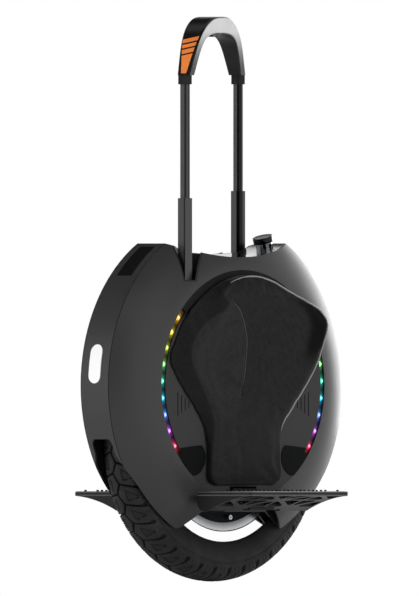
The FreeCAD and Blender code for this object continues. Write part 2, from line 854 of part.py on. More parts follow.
def battery_packs():
    """Four packs beside the wheel, front and rear, on the frame plates."""
    low_y = plate_inner_y + plate_thickness
    sector = ring(battery_inner, battery_outer, low_y, low_y + battery_depth, 0, body_centre_z)
    reach = battery_outer * 2
    rise = reach * math.tan(math.radians(battery_spread))
    wedge = prism_y([(0, body_centre_z), (reach, body_centre_z - rise), (reach, body_centre_z + rise)],
                    low_y, low_y + battery_depth)
    return group(four_corners(sector.common(wedge)))


def control_box():
    low_z = axle_z + arch_inner_radius + arch_wall + fit_gap
    return block(-control_box_half_x, control_box_half_x, -control_box_half_y, control_box_half_y,
                 low_z, control_box_top_z)


# Handle

post_angle = math.degrees(math.atan2(post_y, post_x))


def in_handle_plane(shape):
    """Turns a piece drawn along X into the plane of the two posts."""
    shape.rotate(vec(0, 0, 0), z_axis, post_angle)
    return shape


def pocket_room(grow=0.0):
    """The room in the body for the grip's front leg, wider by a wall where asked."""
    inner = grip_foot_inner - pocket_leg_gap - grow
    outer = grip_foot_outer + pocket_half + grow
    bend_z = guide_top_z + pocket_bend_rise
    top_z = guide_top_z + pocket_height
    floor_z = guide_top_z - grow
    points = [(outer, floor_z), (inner, floor_z), (inner, bend_z),
              (inner - pocket_bend_run, bend_z + pocket_bend_height), (inner - pocket_mouth_run, top_z), (outer, top_z)]
    room = prism_y(points, -pocket_mouth_half - grow, pocket_half + grow)
    flare = [(-pocket_inner_half - grow, floor_z), (pocket_half + grow, floor_z), (pocket_half + grow, top_z),
             (-pocket_mouth_half - grow, top_z)]
    room = in_handle_plane(room.common(prism_x(flare, 0, outer)))
    return room.common(block(0, pocket_front_x + grow, -body_radius, body_radius, 0, top_z))


def post_square(size, z0, z1):
    """A square bar at the front post, its corner towards the body's middle cut away."""
    half = size / 2
    cut = tube_corner + 1.5 - (2 - math.sqrt(2)) * (guide_size - size) / 2
    corners = [(half, half), (-half, half), (-half, cut - half), (cut - half, -half), (half, -half)]
    points = [vec(post_x + x, post_y + y, z0) for x, y in corners]
    face = Part.Face(Part.makePolygon(points + [points[0]]))
    return face.extrude(vec(0, 0, z1 - z0))


def pocket():
    """The moulded pocket that takes the grip's leg when the handle is down."""
    liner = pocket_room(pocket_wall).cut(pocket_room())
    liner = liner.common(body_solid()).cut(saddle_void())
    return liner.cut(post_square(guide_size + 2 * fit_gap, guide_bottom_z, guide_top_z + 1))


def tube_guide():
    outer = post_square(guide_size, guide_bottom_z, guide_top_z)
    return outer.cut(post_square(guide_size - 2 * guide_wall, guide_bottom_z, guide_top_z))


def sleeve(top_z):
    outer = post_square(sleeve_size, sleeve_bottom_z, top_z)
    bore = inner_tube_size + 2 * sliding_gap
    return outer.cut(post_square(bore, sleeve_bottom_z, top_z))


def inner_post():
    outer = post_square(inner_tube_size, inner_tube_bottom_z, grip_bottom_z)
    return outer.cut(post_square(inner_tube_size - 2 * tube_wall, inner_tube_bottom_z, grip_bottom_z))


def collars():
    collar = post_square(collar_size, collar_bottom_z, grip_bottom_z)
    collar = collar.cut(post_square(inner_tube_size, collar_bottom_z, grip_bottom_z))
    return group([collar, turned_round(collar)])


def grip_curve(half_points):
    """A smooth arch through points of its front half and their mirror images."""
    points = half_points + [(-d, z) for d, z in half_points[-2::-1]]
    curve = Part.BSplineCurve()
    curve.interpolate([vec(d, 0, z) for d, z in points])
    return curve.toShape()


def grip_outer(proud=0.0):
    rise = grip_crown_z - grip_bottom_z
    return [(grip_foot_outer + proud, grip_bottom_z), (grip_foot_outer - 14 + proud, grip_bottom_z + 0.29 * rise),
            (grip_foot_outer - 41 + 0.7 * proud, grip_bottom_z + 0.705 * rise + 0.7 * proud),
            (grip_foot_outer * 0.27, grip_crown_z - 2 + proud), (0, grip_crown_z + proud)]


def grip_inner():
    rise = grip_under_z - grip_bottom_z
    return [(grip_foot_inner, grip_bottom_z), (grip_foot_inner - 14, grip_bottom_z + 0.41 * rise),
            (grip_foot_inner - 34, grip_bottom_z + 0.8 * rise), (grip_foot_inner * 0.35, grip_under_z - 1.5),
            (0, grip_under_z)]


def arch_solid(outer, inner, half_width):
    """The solid between two arch curves, drawn along X."""
    edges = [grip_curve(outer), grip_curve(inner)]
    for side in (1, -1):
        edges += lines([vec(side * outer[0][0], 0, outer[0][1]), vec(side * inner[0][0], 0, inner[0][1])])
    face = Part.Face(Part.Wire(Part.sortEdges(edges)[0]))
    arch = face.extrude(vec(0, 2 * half_width, 0))
    arch.translate(vec(0, -half_width, 0))
    return arch


def grip():
    """An arched grip, narrow at its feet and wide at the crown."""
    arch = arch_solid(grip_outer(), grip_inner(), grip_crown_half)
    reach = grip_foot_outer + 20
    taper = prism_x([(-grip_foot_half, grip_bottom_z), (grip_foot_half, grip_bottom_z),
                     (grip_crown_half, grip_crown_z + 1), (-grip_crown_half, grip_crown_z + 1)], -reach, reach)
    arch = arch.common(taper)
    long_edges = [edge for edge in arch.Edges if edge.BoundBox.XLength > grip_foot_inner]
    arch = arch.makeFillet(grip_edge_round, long_edges)
    seat = block(-release_length / 2 - sliding_gap, release_length / 2 + sliding_gap,
                 -release_width / 2 - sliding_gap, release_width / 2 + sliding_gap,
                 grip_under_z - 10, grip_under_z + release_height / 2 + release_travel + sliding_gap)
    return in_handle_plane(arch.cut(seat))


def release_button():
    """The push bar under the crown that frees the handle."""
    bar = block(-release_length / 2, release_length / 2, -release_width / 2, release_width / 2,
                grip_under_z - release_height / 2, grip_under_z + release_height / 2)
    edges = [edge for edge in bar.Edges if edge.BoundBox.ZMax < grip_under_z]
    return in_handle_plane(bar.makeFillet(release_round, edges))


def grip_inlays():
    """Coloured panels let on to the outside of both legs, cut by slanted grooves."""
    layer = arch_solid(grip_outer(inlay_thickness), grip_outer(), grip_crown_half)
    low_z = grip_bottom_z + 3
    high_z = grip_under_z - 6
    narrow = 0.4 * grip_foot_half
    wide = 0.72 * grip_crown_half
    slant = 6.0
    reach = grip_foot_outer + 20
    panel = prism_x([(-narrow, low_z), (narrow, low_z), (wide, high_z + slant), (-wide, high_z)], 0, reach)
    grooves = []
    for number in range(3):
        low = high_z - inlay_groove_start - inlay_groove_step * number
        high = low + inlay_groove_rise
        side = grip_crown_half + 2
        grooves.append(prism_x([(-side, low), (side, high), (side, high + inlay_groove_width),
                                (-side, low + inlay_groove_width)], 0, reach))
    inlay = in_handle_plane(layer.common(panel).cut(group(grooves)))
    return group([inlay, turned_round(inlay)])


# Pedals

def along_x(radius, x0, x1, y, z):
    return Part.makeCylinder(radius, x1 - x0, vec(x0, y, z), vec(1, 0, 0))


def hinge_bore():
    reach = hanger_half + fit_gap
    return along_x(hinge_pin_radius + running_gap, -reach, reach, hinge_y, hinge_z)


def hinge_pin():
    return along_x(hinge_pin_radius, -hanger_half, hanger_half, hinge_y, hinge_z)


def hanger():
    """The left bracket on the frame plate, with two lugs for the pedal's hinge pin."""
    low_y = plate_inner_y + plate_thickness
    bracket = block(-hanger_half, hanger_half, low_y, hanger_face_y, hanger_bottom_z, hanger_shoulder_z)
    neck = block(-hanger_neck_half, hanger_neck_half, low_y, hanger_face_y, hanger_bottom_z, hanger_top_z)
    bracket = bracket.fuse(neck).removeSplitter()
    edges = [edge for edge in bracket.Edges
             if edge.BoundBox.YMin > hanger_face_y - 1 and edge.BoundBox.ZLength < 1]
    bracket = bracket.makeChamfer(hanger_chamfer, edges)
    lugs = []
    for x0, x1 in ((-hanger_half, -lug_inner), (lug_inner, hanger_half)):
        lugs.append(block(x0, x1, hanger_face_y - lug_root, hinge_y, hinge_z - knuckle_radius, hinge_z + knuckle_radius))
        lugs.append(along_x(knuckle_radius, x0, x1, hinge_y, hinge_z))
    return bracket.fuse(lugs).removeSplitter().cut(hinge_bore())


def pedal_wedge():
    """The pedal's outline: flat above, hollowed below from the thick root to the thin outer edge."""
    def at(y, z):
        return vec(-pedal_half, y, z)

    root_end = pedal_root_y + pedal_root_depth
    tip_z = pedal_top_z - pedal_edge
    middle = at((root_end + pedal_outer_y) / 2, (pedal_root_bottom_z + tip_z) / 2 + pedal_hollow)
    edges = lines([at(root_end, pedal_root_bottom_z), at(pedal_root_y + pedal_root_bevel_y, pedal_root_bottom_z),
                   at(pedal_root_y, pedal_root_bottom_z + pedal_root_bevel_z), at(pedal_root_y, pedal_top_z),
                   at(pedal_outer_y, pedal_top_z), at(pedal_outer_y, tip_z)])
    edges.append(arc(at(pedal_outer_y, tip_z), middle, at(root_end, pedal_root_bottom_z)))
    face = Part.Face(Part.Wire(edges))
    wedge = face.extrude(vec(2 * pedal_half, 0, 0))
    corners = [edge for edge in wedge.Edges
               if edge.BoundBox.ZLength > 1 and edge.BoundBox.YMin > pedal_outer_y - 1]
    return wedge.makeFillet(pedal_corner, corners)


def truss_pocket(points, z0, z1):
    """A pocket of the truss from its (x, y) corners, with the corners rounded."""
    corners = [vec(x, y, z0) for x, y in points]
    face = Part.Face(Part.makePolygon(corners + [corners[0]]))
    pocket_block = face.extrude(vec(0, 0, z1 - z0))
    uprights = [edge for edge in pocket_block.Edges if edge.BoundBox.ZLength > 1]
    return pocket_block.makeFillet(pocket_corner, uprights)


def truss_pockets(room):
    """Triangular pockets in two rows under the deck, with diagonal ribs between them."""
    low_z = pedal_root_bottom_z - 1
    top_z = pedal_top_z - pedal_deck
    step = (2 * pedal_half - pedal_rib) / pocket_bays
    row_end = pedal_outer_y - 1.5 * pedal_rib
    middle = (room + row_end) / 2
    shift = 1.8 * pedal_rib
    pockets = []
    for row, (y0, y1) in enumerate(((room + pedal_rib, middle - pedal_rib / 2), (middle + pedal_rib / 2, row_end))):
        for number in range(pocket_bays):
            x0 = -pedal_half + pedal_rib + number * step
            x1 = x0 + step - pedal_rib
            rising = (number + row) % 2 == 0
            if rising:
                pairs = [[(x0, y0), (x1 - shift, y0), (x0, y1 - 0.3 * shift)],
                         [(x1, y1), (x0 + shift, y1), (x1, y0 + 0.3 * shift)]]
            else:
                pairs = [[(x1, y0), (x0 + shift, y0), (x1, y1 - 0.3 * shift)],
                         [(x0, y1), (x1 - shift, y1), (x0, y0 + 0.3 * shift)]]
            pockets += [truss_pocket(points, low_z, top_z) for points in pairs]
    return pockets


def pedal():
    """A wing-shaped platform: a deck on a ribbed truss, with a knuckle between the hanger's lugs."""
    room = hinge_y + knuckle_radius + knuckle_room
    wedge = pedal_wedge().cut(group(truss_pockets(room + pedal_web)))
    wedge = wedge.cut(block(-hanger_half - 1, hanger_half + 1, 0, room, 0, pedal_top_z + 1))
    web = block(-knuckle_half, knuckle_half, hinge_y, room + pedal_web, hinge_z - knuckle_radius, pedal_top_z)
    knuckle = along_x(knuckle_radius, -knuckle_half, knuckle_half, hinge_y, hinge_z)
    return wedge.fuse([web, knuckle]).removeSplitter().cut(hinge_bore())


def pedal_studs():
    """Grip studs in staggered rows on the deck."""
    studs = []
    row_step = (pedal_outer_y - hinge_y - knuckle_radius - 2 * stud_edge) / (stud_rows - 1)
    column_step = 2 * (pedal_half - stud_side) / (stud_columns - 1)
    for row in range(stud_rows):
        y = pedal_outer_y - stud_edge - row * row_step
        count = stud_columns - row % 2
        for number in range(count):
            x = (number - (count - 1) / 2) * column_step
            studs.append(Part.makeCylinder(stud_radius, stud_height, vec(x, y, pedal_top_z), z_axis))
    return group(studs)


# Knee pad

def pad_section(z, front, rear, ridge_x, ridge_rise, crease_rise, wing_rise):
    """One level of the pad: flat back, bevelled front, a soft crease and a raised rear wing."""
    base_y = panel_y + pad_gap
    face_y = base_y + pad_thickness
    crease_y = face_y + crease_rise
    wing_y = face_y + wing_rise
    corners = [(front, base_y), (front, base_y + pad_foot), (ridge_x, face_y + ridge_rise), (0.0, crease_y),
               (-rear / 2, (crease_y + wing_y) / 2), (pad_roll - rear, wing_y), (-rear, base_y)]
    points = [vec(x, y, z) for x, y in corners]
    return Part.makePolygon(points + [points[0]])


def pad():
    """The left knee pad, lofted from its foot over the waist to the wide wing."""
    sections = [pad_section(*level) for level in pad_levels]
    return Part.makeLoft(sections, True, True)


def both(name, shape):
    """A left piece and its mirror image on the right."""
    return {"left_" + name: shape, "right_" + name: mirrored(shape)}


def front_rear(name, shape):
    """A piece at the front and its like at the rear, half a turn about the vertical."""
    return {"front_" + name: shape, "rear_" + name: turned_round(shape)}


def left_right(name, shape):
    """A left piece and its like on the right, half a turn about the vertical, for the diagonal handle."""
    return {"left_" + name: shape, "right_" + name: turned_round(shape)}


def build():
    nodes = {"tyre": tyre(), "inner_tube": inner_tube(), "rim": rim(), "magnets": magnets()}
    nodes.update(both("motor_cover", motor_cover()))
    nodes.update({"bearings": bearings(), "cover_bolts": cover_bolts(), "valve_stem": valve_stem()})
    nodes.update({"axle": axle(), "stator": stator(), "axle_nuts": axle_nuts()})
    nodes.update(left_right("shell", left_shell()))
    nodes["saddle_top"] = saddle_top()
    nodes.update(front_rear("band", band()))
    nodes.update(left_right("frame_plate", frame_plate()))
    nodes["wheel_arch"] = wheel_arch()
    nodes.update(both("side_panel", side_panel()))
    nodes.update(both("light_channel", light_channel()))
    nodes.update(both("leds", leds()))
    nodes.update(both("pad", pad()))
    nodes.update({"speakers": speakers(), "speaker_grilles": speaker_grilles()})
    nodes.update({"headlight_lens": lamp_lens(), "tail_light_lens": turned_round(lamp_lens())})
    nodes["lamp_reflectors"] = group([lamp_reflector(), turned_round(lamp_reflector())])
    nodes.update(front_rear("window", window()))
    nodes.update({"power_button_base": power_button_base(), "power_button": power_button()})
    nodes.update({"charge_port": charge_port(), "battery_packs": battery_packs(), "control_box": control_box()})
    nodes.update(front_rear("pocket", pocket()))
    nodes.update(front_rear("tube_guide", tube_guide()))
    nodes.update(front_rear("inner_post", inner_post()))
    nodes.update({"front_sleeve": sleeve(front_sleeve_top_z)})
    nodes.update({"rear_sleeve": turned_round(sleeve(rear_sleeve_top_z))})
    nodes.update({"collars": collars(), "grip": grip(), "grip_inlays": grip_inlays()})
    nodes["release_button"] = release_button()
    nodes.update(both("hanger", hanger()))
    nodes["hinge_pins"] = group([hinge_pin(), mirrored(hinge_pin())])
    nodes.update(both("pedal", pedal()))
    nodes.update(both("pedal_studs", pedal_studs()))
    return nodes


def main():
    os.makedirs("parts", exist_ok=True)
    for name, shape in build().items():
        shape.exportStep("parts/" + name + ".step")


main()
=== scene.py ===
"""Dresses the electric unicycle: finishes for its rigid pieces, moulded knee pads, light beads and tread."""

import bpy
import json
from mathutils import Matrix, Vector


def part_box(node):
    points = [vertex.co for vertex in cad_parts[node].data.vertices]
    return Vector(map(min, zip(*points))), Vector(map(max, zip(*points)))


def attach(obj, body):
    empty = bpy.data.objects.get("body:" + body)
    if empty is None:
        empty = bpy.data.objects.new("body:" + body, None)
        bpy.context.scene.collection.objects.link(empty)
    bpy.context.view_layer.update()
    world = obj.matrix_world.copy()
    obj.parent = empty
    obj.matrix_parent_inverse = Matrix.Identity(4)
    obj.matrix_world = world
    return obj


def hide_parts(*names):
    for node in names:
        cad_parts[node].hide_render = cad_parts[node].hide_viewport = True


bl_info = {
    "name": "Electric unicycle looks",
    "version": (1, 0, 0),
    "blender": (4, 5, 0),
    "location": "3D View > Sidebar > Unicycle",
    "description": "Finishes, knee pads, light beads and studio for the electric unicycle",
    "category": "Object",
}

import json
import math
from collections import namedtuple
from types import SimpleNamespace

import bmesh
import bpy
from bpy.props import FloatProperty, FloatVectorProperty, IntProperty, PointerProperty
from mathutils import Vector

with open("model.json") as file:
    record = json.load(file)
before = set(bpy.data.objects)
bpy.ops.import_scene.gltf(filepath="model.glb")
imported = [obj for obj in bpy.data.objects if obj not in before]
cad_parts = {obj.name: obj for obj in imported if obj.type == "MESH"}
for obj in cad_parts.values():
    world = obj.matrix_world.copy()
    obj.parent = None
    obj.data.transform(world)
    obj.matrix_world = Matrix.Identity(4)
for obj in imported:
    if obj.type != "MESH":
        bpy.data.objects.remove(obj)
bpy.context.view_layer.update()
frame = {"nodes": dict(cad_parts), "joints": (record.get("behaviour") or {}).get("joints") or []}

MM = 0.001
JOINTS = {joint["name"]: joint for joint in frame["joints"]}
WHEEL_MIDDLE = Vector((0.0, 0.0, JOINTS["wheel_spin"]["pos_m"][2]))
BODY_MIDDLE_Z = 302.0 * MM

# The handle's posts stand on a line across the body; POST_SIDE is square to it.
POST_X = 107.7 * MM
POST_Y = 50.0 * MM
POST_LINE = Vector((POST_X, POST_Y, 0.0)).normalized()
POST_SIDE = Vector((-POST_LINE.y, POST_LINE.x, 0.0))

# Painted shade in dark stripes on the posts: half width and middle of the thin outward stripe and of the wide
# inward one.
SHADE_STRIPE_HALF, SHADE_STRIPE_MIDDLE = 1.3 * MM, 2.5 * MM
SHADE_BAND_HALF, SHADE_BAND_MIDDLE = 3.8 * MM, 4.1 * MM
STRIPE_EDGE = 0.3 * MM

# The grip's inlay: height of its dark head, slant of its lines, and each line's drop from the head.
INLAY_HEAD = 836.5 * MM
INLAY_SLOPE = 0.2250
INLAY_LINES = [7.4 * MM, 15.4 * MM, 24.4 * MM]
INLAY_LINE_HALF = 1.2 * MM

# The motor cover: radius of its bright edge, the width over which it brightens out of painted shade, and the
# dark seam at its rim.
COVER_EDGE_RADIUS = 126.0 * MM
COVER_GRADE = (2 * MM, 12 * MM)
COVER_SEAM = 1.4 * MM

# Painted shadow: the side panel turns black between these radii and heights from the body's middle, behind the
# pad's top.
PANEL_SHADOW_RADII = (155 * MM, 163 * MM)
PANEL_SHADOW_HEIGHTS = (96 * MM, 110 * MM)

# The pedal's painted edge highlights, down from its deck: where the upper one starts and is full, then the
# lower one's middle and half widths.
EDGE_HIGHLIGHT_TOP = (1.6 * MM, 0.6 * MM)
EDGE_HIGHLIGHT_FOOT, EDGE_HIGHLIGHT_HALVES = 5.2 * MM, (1.2 * MM, 0.4 * MM)
DECK_SKIN = 0.1 * MM

# The grip turns matt from this far below its crown to this far above its feet.
GRIP_POLISH, GRIP_MATT = 22 * MM, 8 * MM

BEAD_COLOURS = ["#e8a317", "#d9c21a", "#a8b81e", "#6fcf6a", "#23c9a0",
                "#1fb5d6", "#5a8cf0", "#b44be0", "#e02450"]


def linear(colour):
    """The linear RGBA of an sRGB hex colour, or of a colour property, which is linear already."""
    if not isinstance(colour, str):
        return tuple(colour)
    parts = [int(colour[i:i + 2], 16) / 255 for i in (1, 3, 5)]
    flat = [p / 12.92 if p <= 0.04045 else ((p + 0.055) / 1.055) ** 2.4 for p in parts]
    return (*flat, 1.0)


def per_mm(size_mm):
    """Texture scale whose features are about this many millimetres."""
    return 1.0 / (size_mm * MM)


def add(tree, kind, inputs=None, **settings):
    """Adds a node with its settings, and a value, a hex colour or a link for each named socket."""
    node = tree.nodes.new(kind)
    for key, value in settings.items():
        setattr(node, key, value)
    for key, value in (inputs or {}).items():
        if isinstance(value, bpy.types.NodeSocket):
            tree.links.new(value, node.inputs[key])
        else:
            node.inputs[key].default_value = linear(value) if isinstance(value, str) else value
    return node


class Finish:
    """A material on object coordinates, with short ways to add its nodes; each gives the new node's output."""

    def __init__(self, name):
        self.name = name
        self.material = bpy.data.materials.new(name)
        self.material.use_nodes = True
        self.tree = self.material.node_tree
        self.tree.nodes.clear()
        self.output = add(self.tree, "ShaderNodeOutputMaterial")
        self.place = add(self.tree, "ShaderNodeTexCoord").outputs["Object"]

    def math(self, operation, *values):
        return add(self.tree, "ShaderNodeMath", dict(enumerate(values)), operation=operation).outputs["Value"]

    def vector(self, operation, *values):
        node = add(self.tree, "ShaderNodeVectorMath", dict(enumerate(values)), operation=operation)
        return node.outputs["Value" if operation in ("DOT_PRODUCT", "LENGTH") else "Vector"]

    def span(self, value, low=0.0, high=1.0, to_low=0.0, to_high=1.0):
        """Takes a value from one range to another and holds it at the ends."""
        return add(self.tree, "ShaderNodeMapRange", {"Value": value, "From Min": low, "From Max": high,
                                                     "To Min": to_low, "To Max": to_high}).outputs["Result"]

    def mix(self, share, first, second):
        """Goes from the first colour to the second."""
        return add(self.tree, "ShaderNodeMix", {0: share, 6: first, 7: second}, data_type="RGBA").outputs[2]

    def noise(self, size_mm, detail, **more):
        return add(self.tree, "ShaderNodeTexNoise", {"Vector": self.place, "Scale": per_mm(size_mm),
                                                     "Detail": detail, **more}).outputs["Fac"]

    def cells(self, size_mm, **more):
        return add(self.tree, "ShaderNodeTexVoronoi", {"Vector": self.place, "Scale": per_mm(size_mm),
                                                       **more}).outputs["Distance"]

    def mark(self, name):
        """A value painted on the mesh's points."""
        return add(self.tree, "ShaderNodeAttribute", attribute_name=name).outputs["Fac"]

    def bump(self, height, strength, distance, **more):
        return add(self.tree, "ShaderNodeBump", {"Height": height, "Strength": strength, "Distance": distance,
                                                 **more}).outputs["Normal"]

    def parts(self, vector):
        """The X, Y and Z of a vector."""
        return add(self.tree, "ShaderNodeSeparateXYZ", {"Vector": vector}).outputs

    def side_view(self, middle):
        """The place from a middle, flattened along the axle, and its distance."""
        flat = self.vector("MULTIPLY", self.vector("SUBTRACT", self.place, middle), (1.0, 0.0, 1.0))
        return flat, self.vector("LENGTH", flat)

    def shade(self, inputs):
        """Ends the material with its shader."""
        self.shader = add(self.tree, "ShaderNodeBsdfPrincipled", inputs)
        self.tree.links.new(self.shader.outputs["BSDF"], self.output.inputs["Surface"])
        return self

    def linked(self, socket):
        """What feeds a socket of the shader."""
        return self.shader.inputs[socket].links[0].from_socket

    def paint_over(self, share, colour):
        """Lays another colour over the body where the share is 1."""
        painted = self.mix(share, self.linked("Base Color"), colour)
        self.tree.links.new(painted, self.shader.inputs["Base Color"])
        return self


def moulded(name, colour, roughness, grain_mm, grain_depth, tint=0.10, coat=0.0, specular=0.5):
    """A moulded or coated surface: a little colour drift, uneven gloss and a fine grain."""
    finish = Finish(name)
    drift = finish.noise(60, 4.0)
    dark, light = ([min(1.0, c * level) for c in linear(colour)[:3]] + [1.0] for level in (1 - tint, 1 + tint))
    grain = finish.noise(grain_mm, 2.0)
    return finish.shade({
        "Base Color": finish.mix(drift, dark, light),
        "Roughness": finish.span(drift, to_low=roughness - 0.05, to_high=roughness + 0.05),
        "Normal": finish.bump(grain, grain_depth, grain_mm * MM * 0.4),
        "IOR": 1.5, "Specular IOR Level": specular, "Coat Weight": coat, "Coat Roughness": 0.12})


def anodised_tube(name, colour, roughness):
    """Drawn aluminium tube, anodised: faint lines along its length, drawn 2 mm apart so that they show.

    Painted shade runs down the posts: a thin dark stripe down each outward face, and a wide black one down the
    inward one.
    """
    finish = Finish(name)
    across = finish.vector("DOT_PRODUCT", finish.place, POST_SIDE)
    outward = finish.math("ABSOLUTE", finish.vector("DOT_PRODUCT", finish.place, POST_LINE))
    inward = finish.math("LESS_THAN", outward, math.hypot(POST_X, POST_Y))
    half = finish.span(inward, to_low=SHADE_STRIPE_HALF, to_high=SHADE_BAND_HALF)
    middle = finish.span(inward, to_low=SHADE_STRIPE_MIDDLE, to_high=SHADE_BAND_MIDDLE)
    aside = finish.math("ABSOLUTE", finish.math("SUBTRACT", across, middle))
    # Painted shade: 1 within a dark stripe down the post.
    shade_stripe = finish.span(finish.math("SUBTRACT", half, aside), -STRIPE_EDGE, STRIPE_EDGE)
    stretch = add(finish.tree, "ShaderNodeMapping", {"Vector": finish.place,
                                                     "Scale": (per_mm(2), per_mm(2), per_mm(120))})
    lines = add(finish.tree, "ShaderNodeTexNoise", {"Vector": stretch.outputs["Vector"], "Scale": 1.0,
                                                    "Detail": 3.0}).outputs["Fac"]
    return finish.shade({
        "Base Color": finish.mix(shade_stripe, colour, "#020202"), "Metallic": 0.6,
        "Roughness": finish.span(lines, to_low=roughness - 0.08, to_high=roughness + 0.08),
        "Normal": finish.bump(lines, 0.08, 0.2 * MM)})


def turned_metal(name, edge_colour, shade_colour, face_colour):
    """Turned, part-anodised metal: fine rings round the axle, bright outside one radius with painted shade at
    its inner side, dark within.
    """
    finish = Finish(name)
    _, reach = finish.side_view(WHEEL_MIDDLE)
    bright = finish.math("GREATER_THAN", reach, COVER_EDGE_RADIUS)
    rings = finish.math("SINE", finish.math("MULTIPLY", reach, per_mm(0.8) * 2 * math.pi))
    # Painted shade: the bright edge goes outwards from the shade colour to the edge colour.
    outward = finish.span(reach, *(COVER_EDGE_RADIUS + grade for grade in COVER_GRADE))
    colour = finish.mix(bright, face_colour, finish.mix(outward, shade_colour, edge_colour))
    seam = finish.math("GREATER_THAN", reach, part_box("left_motor_cover")[1].x - COVER_SEAM)
    return finish.shade({
        "Base Color": finish.mix(seam, colour, "#1a1a1a"), "Metallic": 1.0,
        "Roughness": finish.span(bright, to_low=0.5, to_high=0.22),
        "Normal": finish.bump(rings, 0.05, 0.1 * MM)})


def polished_metal(name, colour, roughness):
    """Polished metal with faint smears that vary its gloss."""
    finish = Finish(name)
    smear = finish.noise(25, 5.0)
    return finish.shade({
        "Base Color": colour, "Metallic": 1.0,
        "Roughness": finish.span(smear, to_low=roughness * 0.7, to_high=roughness * 1.4)})


def tyre_rubber(name, colour, cut_shade_colour):
    """Moulded tyre rubber: matt, with painted shade in its cuts and at its sidewalls' foot, slightly dusty,
    with a fine pebble on its sidewalls.
    """
    finish = Finish(name)
    dust = finish.noise(18, 6.0, Roughness=0.65)
    # Painted shade: darker in the cuts and at the sidewall's foot, by the mark made with the tread.
    level = finish.span(finish.math("MULTIPLY", dust, finish.mark("worn")), 0.1, 0.6)
    return finish.shade({
        "Base Color": finish.mix(level, cut_shade_colour, colour), "Roughness": 0.6, "IOR": 1.52,
        "Specular IOR Level": 0.25, "Normal": finish.bump(finish.cells(1.6), 0.25, 0.3 * MM)})


def pad_cloth(name, colour, fleck_colour):
    """Knit over moulded foam: loops drawn 1.8 mm wide so that they show, darker between, with a soft sheen."""
    finish = Finish(name)
    knit = finish.cells(1.8, Randomness=0.55)
    mottle = finish.noise(9, 5.0, Roughness=0.6)
    fleck = finish.span(finish.math("MULTIPLY", knit, mottle), 0.05, 0.45)
    # The tone mark darkens the bevel and paints shade on the pad's rear, hook, side walls and top.
    tone = finish.mark("tone")
    weave = finish.bump(knit, 0.35, 0.35 * MM)
    return finish.shade({
        "Base Color": finish.mix(fleck, finish.mix(tone, "#050505", colour),
                                 finish.mix(tone, "#030303", fleck_colour)),
        "Roughness": 0.78, "Specular IOR Level": 0.15, "Sheen Weight": 0.1, "Sheen Roughness": 0.45,
        "Normal": finish.bump(mottle, 0.12, 0.8 * MM, Normal=weave)})


def lamp_plastic(name, colour, glow):
    """A diffusing lamp lens: clear gloss over a milky body that glows a little from within."""
    finish = Finish(name)
    ribs = add(finish.tree, "ShaderNodeTexWave", bands_direction="Z",
               inputs={"Vector": finish.place, "Scale": per_mm(4), "Distortion": 0.0})
    return finish.shade({
        "Base Color": colour, "Roughness": 0.18, "IOR": 1.49, "Coat Weight": 0.5, "Coat Roughness": 0.05,
        "Normal": finish.bump(ribs.outputs["Fac"], 0.06, 0.3 * MM),
        "Emission Color": colour, "Emission Strength": glow})


def bead_light(name, colour, glow):
    """A clear moulded bead over a lit diode: tinted body with a bright heart."""
    finish = Finish(name)
    core = finish.span(finish.mark("heart"), 0.72, to_high=0.6)
    return finish.shade({
        "Base Color": colour, "IOR": 1.5,
        "Roughness": finish.span(finish.noise(3, 1.0), to_low=0.05, to_high=0.2),
        "Emission Color": finish.mix(core, colour, "#ffffff"), "Emission Strength": glow})


def lit_channel(name, first, step):
    """A black light channel that glows faintly by each bead, in the beads' colours from top to bottom."""
    finish = Finish(name)
    place = finish.parts(finish.place)
    rise = finish.math("SUBTRACT", place["Z"], BODY_MIDDLE_Z)
    angle = finish.math("ARCTAN2", rise, finish.math("ABSOLUTE", place["X"]))
    last = len(BEAD_COLOURS) - 1
    ramp = add(finish.tree, "ShaderNodeValToRGB", {"Fac": finish.span(angle, first, first - step * last)})
    stops = ramp.color_ramp.elements
    for number, colour in enumerate(BEAD_COLOURS):
        stop = stops[0] if number == 0 else stops[-1] if number == last else stops.new(number / last)
        stop.color = linear(colour)
    beat = finish.math("MULTIPLY", finish.math("SUBTRACT", angle, first), 2 * math.pi / step)
    near = finish.span(finish.math("COSINE", beat), -1.0, to_low=0.12)
    return finish.shade({
        "Base Color": "#0a0a0b", "Roughness": 0.3, "Specular IOR Level": 0.3,
        "Emission Color": finish.mix(near, "#000000", ramp.outputs["Color"]), "Emission Strength": 0.5})


def panel_plastic(name, colour, shadow_colour):
    """The side panel's grained plastic, with a painted shadow in black where the top of the pad shades its
    recess.
    """
    finish = moulded(name, colour, 0.55, 1.4, 0.12, specular=0.2)
    flat, reach = finish.side_view((0.0, 0.0, BODY_MIDDLE_Z))
    # Painted shadow: black towards the panel's edge, above the height of the pad's top.
    outer = finish.span(reach, *PANEL_SHADOW_RADII)
    upper = finish.span(finish.parts(flat)["Z"], *PANEL_SHADOW_HEIGHTS)
    return finish.paint_over(finish.math("MULTIPLY", outer, upper), shadow_colour)


def pedal_anodising(name, colour, highlight_colour):
    """Black anodised casting, with painted highlights in grey along the upper and lower edges of its deck."""
    finish = moulded(name, colour, 0.4, 0.9, 0.15, specular=0.28)
    height = finish.parts(finish.place)["Z"]
    deck_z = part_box("left_pedal")[1].z
    # Painted highlights along the deck's upper and lower edges.
    upper = finish.span(height, *(deck_z - drop for drop in EDGE_HIGHLIGHT_TOP))
    below = finish.math("ABSOLUTE", finish.math("SUBTRACT", height, deck_z - EDGE_HIGHLIGHT_FOOT))
    edges = finish.math("MAXIMUM", upper, finish.span(below, *EDGE_HIGHLIGHT_HALVES))
    level = finish.math("LESS_THAN", height, deck_z - DECK_SKIN)
    return finish.paint_over(finish.math("MULTIPLY", edges, level), highlight_colour)


